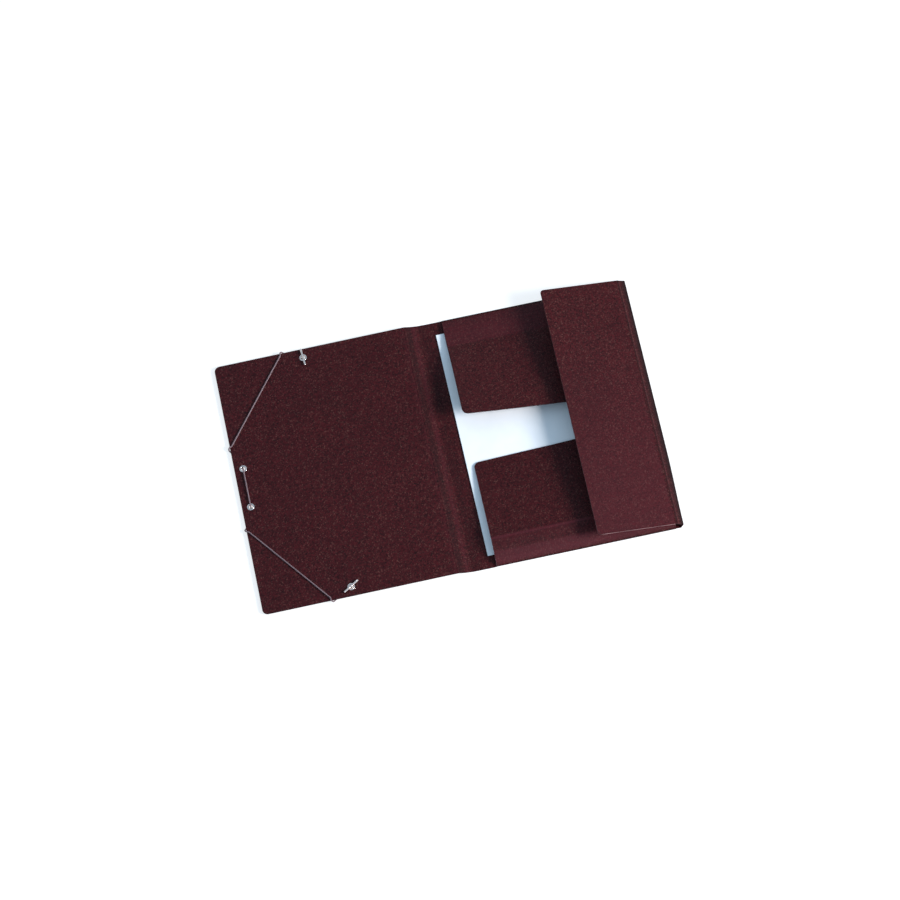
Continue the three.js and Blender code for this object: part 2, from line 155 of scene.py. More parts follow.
def make_object(
    name: str, points: Array, faces: list, materials: list[Material], slots: Array | None = None
) -> Piece:
    """Makes a smooth-shaded mesh object at the origin.

    Args:
        name: the piece's name.
        points: vertices, one row each, in metres.
        faces: the vertex indices of each face.
        materials: the materials in the order of their indices.
        slots: index of each face's material, zero when left out.

    Returns:
        The linked object.
    """
    mesh = bpy.data.meshes.new(name)
    mesh.from_pydata(points.tolist(), [], faces)
    for material in materials:
        mesh.materials.append(material)
    if slots is not None:
        mesh.polygons.foreach_set("material_index", slots)
    shade_smooth(mesh)
    mesh.update()
    piece = bpy.data.objects.new(name, mesh)
    bpy.context.scene.collection.objects.link(piece)
    return piece


def report(piece: Piece) -> None:
    """Logs a piece's triangle count."""
    piece.data.calc_loop_triangles()
    log.info("%s: %d triangles", piece.name, len(piece.data.loop_triangles))


def dress(piece: Piece, body: str, node: str) -> None:
    """Hands a finished piece to the frame and reports it.

    Args:
        piece: the piece.
        body: the body that it rides on.
        node: the node whose solid it replaces.
    """
    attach(piece, body)
    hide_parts(node)
    report(piece)


def grid_faces(rows: int, columns: int, first: int = 0) -> Array:
    """Quads of a grid whose vertex (i, j) has the index first + i * columns + j."""
    i, j = np.meshgrid(np.arange(rows - 1), np.arange(columns - 1), indexing="ij")
    corner = first + i * columns + j
    quads = np.stack([corner, corner + columns, corner + columns + 1, corner + 1], axis=-1)
    return quads.reshape(-1, 4)


@dataclass
class CardSheet:
    """A closed sheet of card around a middle surface given as a grid.

    The two faces lie half a thickness along the surface normal, and the rim between them is
    a short wall with both arrises eased by a quarter circle.

    Attributes:
        middle: grid of shape (rows, columns, 3); normal is rows' direction x columns'.
        thickness: thickness of the card.
        ease: radius of the eased arrises.
        open_sides: sides that meet another piece, which keep a square rim.
        upper_relief: height added to the upper face, of shape (rows, columns).
        rub: painted light and shade, with some wear, of shape (rows,
        columns): 1 is painted pale, -1 is painted shade.
        pale_edge_sides: sides whose cut edge is coloured pale pink.
    """

    middle: Array
    thickness: float
    ease: float
    open_sides: tuple[Side, ...] = ()
    upper_relief: Array | None = None
    rub: Array | None = None
    pale_edge_sides: tuple[Side, ...] = ()

    def perimeter(self) -> tuple[Array, list[Side]]:
        """Walks round the grid with the sheet on the left.

        Returns:
            The grid's flat index at each step, and the side of the edge that follows it.
        """
        rows, columns = self.middle.shape[:2]
        index = np.arange(rows * columns).reshape(rows, columns)
        parts = [index[:-1, 0], index[-1, :-1], index[:0:-1, -1], index[0, :0:-1]]
        sides = [Side.V_START, Side.U_END, Side.V_END, Side.U_START]
        labels = [side for part, side in zip(parts, sides) for _ in part]
        return np.concatenate(parts), labels

    def normals(self) -> Array:
        """Unit normals of the middle surface, from the cross product of its differences."""
        along_u = np.gradient(self.middle, axis=0)
        along_v = np.gradient(self.middle, axis=1)
        return unit(np.cross(along_u, along_v))

    def outward(self, loop: Array, labels: list[Side], normal: Array) -> Array:
        """Outward vectors along the rim, longer at corners so that each wall moves evenly.

        Args:
            loop: the perimeter's vertex indices.
            labels: the side of the edge after each of them.
            normal: the surface normals at the perimeter.

        Returns:
            One vector for each perimeter vertex, zero inside an open side.
        """
        flat = self.middle.reshape(-1, 3)[loop]
        edge = unit(np.roll(flat, -1, axis=0) - flat)
        away = unit(np.cross(edge, normal))
        closed = np.array([label not in self.open_sides for label in labels], float)
        after = away * closed[:, None]
        before = np.roll(after, 1, axis=0)
        both = closed * np.roll(closed, 1)
        spread = 1.0 + np.sum(after * before, axis=1) * both
        return (after + before) / spread[:, None]

    def build(self, name: str, materials: list[Material]) -> Piece:
        """Makes the sheet's mesh.

        Args:
            name: the piece's name.
            materials: the face's material, then the rim's.

        Returns:
            The object, with its rim on the second material.
        """
        rows, columns = self.middle.shape[:2]
        half = self.thickness / 2
        normal = self.normals()
        loop, labels = self.perimeter()
        rim_normal = normal.reshape(-1, 3)[loop]
        rim_middle = self.middle.reshape(-1, 3)[loop]
        outward = self.outward(loop, labels, rim_normal)
        upper = half + (0.0 if self.upper_relief is None else self.upper_relief)
        top = self.middle + normal * np.broadcast_to(upper, (rows, columns))[..., None]
        bottom = self.middle - normal * half
        top = top.reshape(-1, 3)
        bottom = bottom.reshape(-1, 3)
        top[loop] -= outward * self.ease
        bottom[loop] -= outward * self.ease
        eased = self.ease * (1.0 - math.sqrt(0.5))
        steps = [(eased, half - eased), (0.0, half - self.ease)]
        rings = steps + [(inset, -height) for inset, height in reversed(steps)]
        walls = [rim_middle + rim_normal * height - outward * inset for inset, height in rings]
        points = np.concatenate([top, bottom, *walls])
        count = len(loop)
        first_wall = 2 * rows * columns
        levels = [loop]
        levels += [first_wall + k * count + np.arange(count) for k in range(len(rings))]
        levels += [rows * columns + loop]
        upper_faces = grid_faces(rows, columns)
        lower_faces = grid_faces(rows, columns, rows * columns)[:, ::-1]
        rim_faces = [
            np.stack([low, np.roll(low, -1), np.roll(high, -1), high], axis=1)
            for high, low in zip(levels[:-1], levels[1:])
        ]
        faces = np.concatenate([upper_faces, lower_faces, *rim_faces])
        on_rim = np.zeros(len(faces), dtype=np.int32)
        on_rim[len(upper_faces) + len(lower_faces) :] = 1
        piece = make_object(name, points, faces.tolist(), materials, on_rim)
        # The faces carry painted light, shade and some wear; the rim carries the pale cut edges.
        painted_sheen_and_wear = np.zeros((rows, columns)) if self.rub is None else self.rub
        pale_edge = np.array([label in self.pale_edge_sides for label in labels], float)
        values = [painted_sheen_and_wear.ravel(), painted_sheen_and_wear.ravel(), *[pale_edge] * len(rings)]
        attribute = piece.data.attributes.new("rub", "FLOAT", "POINT")
        attribute.data.foreach_set("value", np.concatenate(values).astype(np.float32))
        self.sharpen(piece.data, loop, rows * columns)
        return piece

    @staticmethod
    def sharpen(mesh: bpy.types.Mesh, loop: Array, face_points: int) -> None:
        """Marks the border of both faces as sharp, so that the rim doesn't tilt their shading.

        Args:
            mesh: the sheet's mesh.
            loop: the border's vertex indices on the upper face.
            face_points: number of vertices of one face.
        """
        on_border = np.zeros(len(mesh.vertices), dtype=bool)
        on_border[loop] = True
        on_border[loop + face_points] = True
        ends = np.empty(2 * len(mesh.edges), dtype=np.int32)
        mesh.edges.foreach_get("vertices", ends)
        ends = ends.reshape(-1, 2)
        sharp = on_border[ends[:, 0]] & on_border[ends[:, 1]]
        mesh.edges.foreach_set("use_edge_sharp", sharp)


def revolve(name: str, profile: Array, segments: int, material: Material, place: Matrix) -> Piece:
    """Turns a closed or pole-to-pole profile about its own Z axis.

    Args:
        name: the piece's name.
        profile: rows of radius and height, counter-clockwise seen with radius to the right.
        segments: number of steps round the axis.
        material: the piece's material.
        place: where the turned shape goes.

    Returns:
        The object, with its place in its mesh and its repeated points merged.
    """
    angle = np.linspace(0.0, 2.0 * math.pi, segments, endpoint=False)[:, None]
    radius, height = profile.T
    x, y = np.cos(angle) * radius, np.sin(angle) * radius
    points = np.stack([x, y, np.broadcast_to(height, x.shape)], axis=-1).reshape(-1, 3)
    count = len(profile)
    i, j = np.meshgrid(np.arange(segments), np.arange(count - 1), indexing="ij")
    this, after = i * count + j, ((i + 1) % segments) * count + j
    faces = np.stack([this, after, after + 1, this + 1], axis=-1).reshape(-1, 4)
    piece = make_object(name, points, faces.tolist(), [material])
    piece.data.transform(place)
    close_mesh(piece.data)
    return piece


def close_mesh(mesh: bpy.types.Mesh) -> None:
    """Merges repeated points, drops faces without area and points the normals out."""
    work = bmesh.new()
    work.from_mesh(mesh)
    bmesh.ops.remove_doubles(work, verts=work.verts, dist=SAME_POINT)
    bmesh.ops.dissolve_degenerate(work, edges=work.edges, dist=SAME_POINT)
    bmesh.ops.recalc_face_normals(work, faces=work.faces)
    work.to_mesh(mesh)
    work.free()
    shade_smooth(mesh)


def sweep(name: str, path: Array, radius: float, sides: int, material: Material) -> Piece:
    """A round tube with closed ends along a path.

    Each ring lies square to the path; its first direction is the one before it with the part
    along the path taken out, so that the tube doesn't twist.

    Args:
        name: the piece's name.
        path: points of the middle line, which doesn't start straight up or down.
        radius: the tube's radius.
        sides: points in each ring.
        material: the tube's material.

    Returns:
        The object, with a UV map of length along the cord and share of a turn.
    """
    step = np.diff(path, axis=0)
    tangent = unit(np.concatenate([step[:1], step[1:] + step[:-1], step[-1:]]))
    across = np.empty_like(tangent)
    side = np.cross(tangent[0], [0.0, 0.0, 1.0])
    for k, direction in enumerate(tangent):
        side = unit(side - direction * np.dot(side, direction))
        across[k] = side
    other = np.cross(tangent, across)
    angle = np.linspace(0.0, 2.0 * math.pi, sides, endpoint=False)[None, :, None]
    ring = np.cos(angle) * across[:, None] + np.sin(angle) * other[:, None]
    points = (path[:, None] + radius * ring).reshape(-1, 3)
    count = len(path)
    i, j = np.meshgrid(np.arange(count - 1), np.arange(sides), indexing="ij")
    this, beside = i * sides + j, i * sides + (j + 1) % sides
    faces = np.stack([this, beside, beside + sides, this + sides], axis=-1).reshape(-1, 4).tolist()
    middle, last = count * sides, (count - 1) * sides
    faces += [(middle, (k + 1) % sides, k) for k in range(sides)]
    faces += [(middle + 1, last + k, last + (k + 1) % sides) for k in range(sides)]
    piece = make_object(name, np.concatenate([points, path[:1], path[-1:]]), faces, [material])
    length = np.concatenate([[0.0], np.cumsum(np.linalg.norm(step, axis=1))])
    along = np.stack([length[i], length[i], length[i + 1], length[i + 1]], axis=-1)
    turn = np.stack([j, j + 1, j + 1, j], axis=-1) / sides
    wall_uv = np.stack([along, turn], axis=-1).reshape(-1, 2)
    cap_uv = np.zeros((6 * sides, 2))
    cap_uv[3 * sides :, 0] = length[-1]
    uv_layer = piece.data.uv_layers.new(name="cord")
    uv_layer.data.foreach_set("uv", np.concatenate([wall_uv, cap_uv]).astype(np.float32).ravel())
    return piece


# Node groups and finishes


@dataclass(frozen=True)
class NodeBuilder:
    """Adds nodes to one tree; each input is given a number, a colour or an output socket."""

    tree: bpy.types.NodeTree

    def fill(self, node: bpy.types.Node, inputs: dict) -> None:
        """Sets or links a node's inputs, by name or index."""
        for key, value in inputs.items():
            if isinstance(value, Socket):
                self.tree.links.new(value, node.inputs[key])
            else:
                node.inputs[key].default_value = value

    def add(self, kind: str, inputs: dict | None = None, **settings: object) -> bpy.types.Node:
        """Adds a node of a Blender type, sets its properties and fills its inputs."""
        node = self.tree.nodes.new(kind)
        for key, value in settings.items():
            setattr(node, key, value)
        self.fill(node, inputs or {})
        return node

    def math(self, operation: str, first: object, second: object = 0.0) -> Socket:
        """The result of a Math node."""
        return self.add("ShaderNodeMath", {0: first, 1: second}, operation=operation).outputs[0]

    def spread(
        self, value: object, low: float, high: float, to_low: float = 0.0, to_high: float = 1.0
    ) -> Socket:
        """Maps a value from one range onto another, clamped."""
        ends = {"From Min": low, "From Max": high, "To Min": to_low, "To Max": to_high}
        return self.add("ShaderNodeMapRange", {"Value": value, **ends}).outputs["Result"]

    def mix(self, factor: object, first: object, second: object) -> Socket:
        """Mixes two colours, each an output socket or three linear values.

        The Mix node's inputs 6 and 7 and its output 2 are its colours.
        """
        pair = [(*given, 1.0) if isinstance(given, tuple) else given for given in (first, second)]
        inputs = {0: factor, 6: pair[0], 7: pair[1]}
        return self.add("ShaderNodeMix", inputs, data_type="RGBA").outputs[2]

    def noise(self, place: Socket, scale: object, detail: float, output: str = "Fac") -> Socket:
        """One output of a noise texture."""
        inputs = {"Vector": place, "Scale": scale, "Detail": detail}
        return self.add("ShaderNodeTexNoise", inputs).outputs[output]

    def bump(self, height: Socket, strength: float, distance: float) -> Socket:
        """The normal that a height gives."""
        inputs = {"Height": height, "Strength": strength, "Distance": distance}
        return self.add("ShaderNodeBump", inputs).outputs["Normal"]

    def place(self) -> Socket:
        """The shaded point in its piece's own frame."""
        return self.add("ShaderNodeTexCoord").outputs["Object"]

    def rub(self) -> Socket:
        """Painted light and shade on the card's faces, with some wear, and the pale line on its cut
        edges.
        """
        return self.add("ShaderNodeAttribute", attribute_name="rub").outputs["Fac"]

    def pattern(self, group: bpy.types.NodeTree, **inputs: float) -> bpy.types.bpy_prop_collection:
        """The outputs of a node group over the piece's own frame."""
        return self.add("ShaderNodeGroup", {"Vector": self.place(), **inputs}, node_tree=group).outputs


def new_group(name: str, inputs: dict[str, float], outputs: tuple[str, ...]) -> tuple:
    """Starts a shader node group with a Vector input.

    Args:
        name: the group's name.
        inputs: its number inputs and their first values.
        outputs: its number outputs.

    Returns:
        A builder for the group, its input node and its output node.
    """
    tree = bpy.data.node_groups.new(name, "ShaderNodeTree")
    tree.interface.new_socket("Vector", in_out="INPUT", socket_type="NodeSocketVector")
    for key, value in inputs.items():
        socket = tree.interface.new_socket(key, in_out="INPUT", socket_type="NodeSocketFloat")
        socket.default_value = value
    for output in outputs:
        tree.interface.new_socket(output, in_out="OUTPUT", socket_type="NodeSocketFloat")
    return NodeBuilder(tree), tree.nodes.new("NodeGroupInput"), tree.nodes.new("NodeGroupOutput")


def leather_grain_group() -> bpy.types.NodeTree:
    """Embossed leather grain: rounded pebbles with valleys between, each with its own tone.

    Returns:
        A group with Height, Fleck for the tone of each pebble, a mask of the few pebble tips
        that get a painted highlight, and Cloud for slow changes of tone.
    """
    fine_step, fine_share = 2.3, 0.45
    patch_step, patch_share = 0.45, 0.32
    warp_reach, painted_glint_power = 0.9 * MM, 9.0
    sizes = {"Pebble Size": 1.3 * MM, "Cloud Size": 60 * MM}
    build, given, result = new_group("leather_grain", sizes, ("Height", "Fleck", "Glint", "Cloud"))
    place = given.outputs["Vector"]
    scale = build.math("DIVIDE", 1.0, given.outputs["Pebble Size"])
    warp = {0: build.noise(place, scale, 1.0, "Color"), 1: (warp_reach,) * 3}
    shift = build.add("ShaderNodeVectorMath", warp, operation="MULTIPLY").outputs[0]
    warped = build.add("ShaderNodeVectorMath", {0: place, 1: shift}, operation="ADD").outputs[0]
    cells = build.add("ShaderNodeTexVoronoi", {"Vector": warped, "Scale": scale}, feature="F1").outputs
    tone = build.add("ShaderNodeSeparateColor", {"Color": cells["Color"]}).outputs
    mound = build.spread(cells["Distance"], 0.05, 0.65, 1.0, 0.0)
    fine = build.noise(place, build.math("MULTIPLY", scale, fine_step), 2.0)
    patch = build.noise(place, build.math("MULTIPLY", scale, patch_step), 2.0)
    near_tone = build.math("MULTIPLY", build.spread(patch, 0.3, 0.7), patch_share)
    own_tone = build.math("MULTIPLY", tone["Red"], 1.0 - patch_share)
    cloud_scale = build.math("DIVIDE", 1.0, given.outputs["Cloud Size"])
    values = {
        "Height": build.math("ADD", mound, build.math("MULTIPLY", fine, fine_share)),
        "Fleck": build.math("ADD", own_tone, near_tone),
        "Glint": build.math("POWER", tone["Green"], painted_glint_power),
        "Cloud": build.spread(build.noise(place, cloud_scale, 3.0), 0.3, 0.7),
    }
    build.fill(result, values)
    return build.tree


def fibre_group() -> bpy.types.NodeTree:
    """Fine paper or board fibre: two sizes of noise, as Height and as a Tone mask."""
    build, given, result = new_group("paper_fibre", {"Fibre Size": 0.5 * MM}, ("Height", "Tone"))
    place = given.outputs["Vector"]
    scale = build.math("DIVIDE", 1.0, given.outputs["Fibre Size"])
    slow = build.noise(place, build.math("MULTIPLY", scale, 0.02), 2.0)
    build.fill(result, {"Height": build.noise(place, scale, 4.0), "Tone": build.spread(slow, 0.3, 0.7)})
    return build.tree


def start_material(name: str) -> tuple[Material, NodeBuilder, bpy.types.Node]:
    """A new material with its builder and its Principled shader."""
    material = bpy.data.materials.new(name)
    material.use_nodes = True
    tree = material.node_tree
    return material, NodeBuilder(tree), tree.nodes["Principled BSDF"]


@dataclass(frozen=True)
class GrainCardFinish:
    """Embossed burgundy card, with a painted highlight on a few grain tips. Colours are linear.

    Attributes:
        name: the material's name.
        light: colour of the lightest pebbles.
        deep: colour of the darkest pebbles, and of the painted shade.
        painted_glint: painted highlight colour of the few tips that catch the light.
        painted_sheen_and_wear: colour where the card is painted pale, for painted highlights and
        sheen and some wear along folds.
        roughness: roughness of the card's face.
        specular: specular level of the card's face.
        bump: strength of the grain's bump.
        painted_sheen_and_wear_share: how far the card painted pale takes that colour.
        cloud_share: how far the darkest clouds take the deep colour.
    """

    name: str
    light: Colour
    deep: Colour = (0.008, 0.0004, 0.0012)
    painted_glint: Colour = (0.100, 0.032, 0.027)
    painted_sheen_and_wear: Colour = (0.112, 0.019, 0.027)
    roughness: float = 0.5
    specular: float = 0.14
    bump: float = 0.9
    painted_sheen_and_wear_share: float = 0.6
    cloud_share: float = 0.2

    def make(self, grain: bpy.types.NodeTree) -> Material:
        """Makes the material over the grain's node group."""
        material, build, shader = start_material(self.name)
        pattern = build.pattern(grain)
        fleck, cloud, rub = pattern["Fleck"], pattern["Cloud"], build.rub()
        colour = build.mix(fleck, self.deep, self.light)
        # Painted highlight: a few grain tips take a pale colour in place of the light they catch.
        colour = build.mix(pattern["Glint"], colour, self.painted_glint)
        # Painted highlights and sheen, with some wear along folds, where the card is painted pale.
        patchy = build.math("MULTIPLY", rub, build.spread(cloud, 0.0, 1.0, 0.7, 1.0))
        colour = build.mix(build.math("MULTIPLY", patchy, self.painted_sheen_and_wear_share), colour, self.painted_sheen_and_wear)
        # Painted shade where the card is painted dark.
        colour = build.mix(build.spread(rub, -1.0, 0.0, 1.0, 0.0), colour, self.deep)
        colour = build.mix(build.spread(cloud, 0.0, 1.0, 0.0, self.cloud_share), colour, self.deep)
        grained = build.spread(fleck, 0.0, 1.0, self.roughness + 0.08, self.roughness - 0.05)
        looks = {
            "Base Color": colour,
            "Roughness": build.math("SUBTRACT", grained, build.math("MULTIPLY", rub, 0.1)),
            "Specular IOR Level": self.specular,
            "Normal": build.bump(pattern["Height"], self.bump, 0.3 * MM),
        }
        build.fill(shader, looks)
        return material


@dataclass(frozen=True)
class CutEdgeFinish:
    """The raw edge of the card: dark dyed fibre, pale pink along the marked sides."""

    colour: Colour = (0.075, 0.030, 0.034)
    shade: Colour = (0.020, 0.007, 0.008)
    pale_edge: Colour = (0.46, 0.26, 0.26)

    def make(self, fibre: bpy.types.NodeTree) -> Material:
        """Makes the material over the fibre's node group."""
        material, build, shader = start_material("cut_edge")
        pattern = build.pattern(fibre, **{"Fibre Size": 0.4 * MM})
        dyed = build.mix(build.spread(pattern["Height"], 0.35, 0.65), self.shade, self.colour)
        patchy = build.spread(pattern["Tone"], 0.1, 0.8, 0.35, 1.0)
        looks = {
            # Pale pink in patches along the marked cut edges.
            "Base Color": build.mix(build.math("MULTIPLY", build.rub(), patchy), dyed, self.pale_edge),
            "Roughness": 0.85,
            "Specular IOR Level": 0.2,
            "Normal": build.bump(pattern["Height"], 0.3, 0.2 * MM),
        }
        build.fill(shader, looks)
        return material


@dataclass(frozen=True)
class PaperFinish:
    """White office paper, cool in tone, with a faint fibre."""

    colour: Colour = (0.90, 0.89, 0.91)
    shade: Colour = (0.86, 0.86, 0.89)

    def make(self, fibre: bpy.types.NodeTree) -> Material:
        """Makes the material over the fibre's node group."""
        material, build, shader = start_material("white_paper")
        pattern = build.pattern(fibre)
        looks = {
            "Base Color": build.mix(pattern["Tone"], self.shade, self.colour),
            "Roughness": 0.72,
            "Normal": build.bump(pattern["Height"], 0.12, 0.1 * MM),
        }
        build.fill(shader, looks)
        return material


@dataclass(frozen=True)
class ElasticFinish:
    """Round braided elastic: two sets of crossing diagonal strands, painted shade between them."""

    strand: Colour = (0.27, 0.18, 0.19)
    # Painted shade in the hollows between the strands.
    gap: Colour = (0.07, 0.035, 0.045)
    strands_per_turn: int = 8
    lay_length: float = 3.2 * MM

    def make(self) -> Material:
        """Makes the material from the cord's own UV map."""
        material, build, shader = start_material("braided_elastic")
        uv = build.add("ShaderNodeUVMap", uv_map="cord").outputs["UV"]
        parts = build.add("ShaderNodeSeparateXYZ", {"Vector": uv}).outputs
        along = build.math("MULTIPLY", parts["X"], 4 * math.pi / self.lay_length)
        around = build.math("MULTIPLY", parts["Y"], 2 * math.pi * self.strands_per_turn)
        one_way, other_way = [
            build.math("SINE", build.math(operation, along, around)) for operation in ("ADD", "SUBTRACT")
        ]
        height = build.math("MAXIMUM", one_way, other_way)
        looks = {
            "Base Color": build.mix(build.spread(height, -0.2, 0.9), self.gap, self.strand),
            "Roughness": 0.7,
            "Normal": build.bump(height, 0.6, 0.1 * MM),
        }
        build.fill(shader, looks)
        return material


@dataclass(frozen=True)
class NickelFinish:
    """Bright nickel plate with fine handling marks."""

    colour: Colour = (0.80, 0.68, 0.64)
    marks_per_metre: float = 900.0

    def make(self) -> Material:
        """Makes the material."""
        material, build, shader = start_material("nickel_plate")
        marks = build.noise(build.place(), self.marks_per_metre, 3.0)
        looks = {
            "Base Color": (*self.colour, 1.0),
            "Metallic": 1.0,
            "Roughness": build.spread(marks, 0.35, 0.65, 0.12, 0.28),
            "Normal": build.bump(marks, 0.05, 0.1 * MM),
        }
        build.fill(shader, looks)
        return material


@dataclass(frozen=True)
class Finishes:
    """The folder's materials."""

    cover: Material
    folded: Material
    edge: Material
    paper: Material
    elastic: Material
    nickel: Material

    @classmethod
    def make(cls) -> Finishes:
        """Makes every finish once."""
        grain, fibre = leather_grain_group(), fibre_group()
        return cls(
            cover=GrainCardFinish("cover_card", (0.076, 0.0064, 0.0090)).make(grain),
            # folded_card is a copy of the cover's card painted a little darker, as painted shade on the
            # back panel, side flap and folded flaps.
            folded=GrainCardFinish("folded_card", (0.073, 0.0056, 0.0081)).make(grain),
            edge=CutEdgeFinish().make(fibre),
            paper=PaperFinish().make(fibre),
            elastic=ElasticFinish().make(),
            nickel=NickelFinish().make(),
        )

    def card(self, slot: str) -> list[Material]:
        """The face's and the rim's material of card in a slot."""
        return [self.cover if slot == "cover_card" else self.folded, self.edge]


# The card's line across the folder


@dataclass(frozen=True)
class CardSizes:
    """Sizes that the boards, flaps and creases share, in metres and degrees."""

    height: float = 350 * MM
    thickness: float = 1.2 * MM
    ease: float = 0.22 * MM
    cover_width: float = 250 * MM
    back_width: float = 250 * MM
    corner_radius: float = 7 * MM
    spine_strip: float = 9.35 * MM
    spine_tips: tuple[float, ...] = (0.0, 3.0, 12.0, 20.0)
    crease_bend: float = 1.6 * MM
    crease_half: float = 3.0 * MM
    side_bend_radius: float = 1.2 * MM
    side_strips: tuple[float, float] = (8.0 * MM, 8.6 * MM)
    side_headings: tuple[float, float] = (78.7, 139.0)
    side_inset: float = 0.8 * MM
    side_flap_length: float = 103 * MM
    side_flap_heading: float = 170.2
    side_flap_corner: float = 4.5 * MM

    @property
    def half_height(self) -> float:
        """Height of the boards' top edge over their middle."""
        return self.height / 2


class BentLine:
    """A line of card in a plane, straight between bends that are short arcs.

    Its heading at arc length s is the first heading plus, for each bend, the change of
    heading times the share of the bend passed; its points are the running sum of the unit
    vector of that heading.
    """

    STEP = 0.05 * MM

    def __init__(self, lengths: list[float], headings: list[float], bends: list[float]) -> None:
        """Works out the line.

        Args:
            lengths: length of each straight stretch, measured between bend middles.
            headings: heading of each stretch, in degrees.
            bends: arc length of the bend after each stretch but the last.
        """
        self.marks = np.cumsum(lengths)
        self.length = float(self.marks[-1])
        self.headings = np.radians(np.asarray(headings, float))
        self.bends = np.asarray(bends, float)
        count = int(self.length / self.STEP) + 1
        self.s = np.linspace(0.0, self.length, count)
        middle = (self.s[1:] + self.s[:-1]) / 2
        angle = self.heading(middle)
        step = np.diff(self.s)
        across = np.concatenate([[0.0], np.cumsum(step * np.cos(angle))])
        up = np.concatenate([[0.0], np.cumsum(step * np.sin(angle))])
        self.points = np.stack([across, up], axis=-1)

    def heading(self, s: Array) -> Array:
        """Heading at arc length s, in radians."""
        angle = np.full_like(np.asarray(s, float), self.headings[0])
        turns = np.diff(self.headings)
        for mark, turn, bend in zip(self.marks[:-1], turns, self.bends):
            angle = angle + turn * np.clip((s - mark) / bend + 0.5, 0.0, 1.0)
        return angle

    def shift(self, s: float, point: tuple[float, float]) -> None:
        """Moves the line so that arc length s lies at a point."""
        self.points = self.points + (np.asarray(point) - self.at(np.array([s]))[0])

    def at(self, s: Array) -> Array:
        """Points at arc lengths s, past the ends along the end headings."""
        inside = np.clip(s, 0.0, self.length)
        across = np.interp(inside, self.s, self.points[:, 0])
        up = np.interp(inside, self.s, self.points[:, 1])
        return np.stack([across, up], axis=-1)


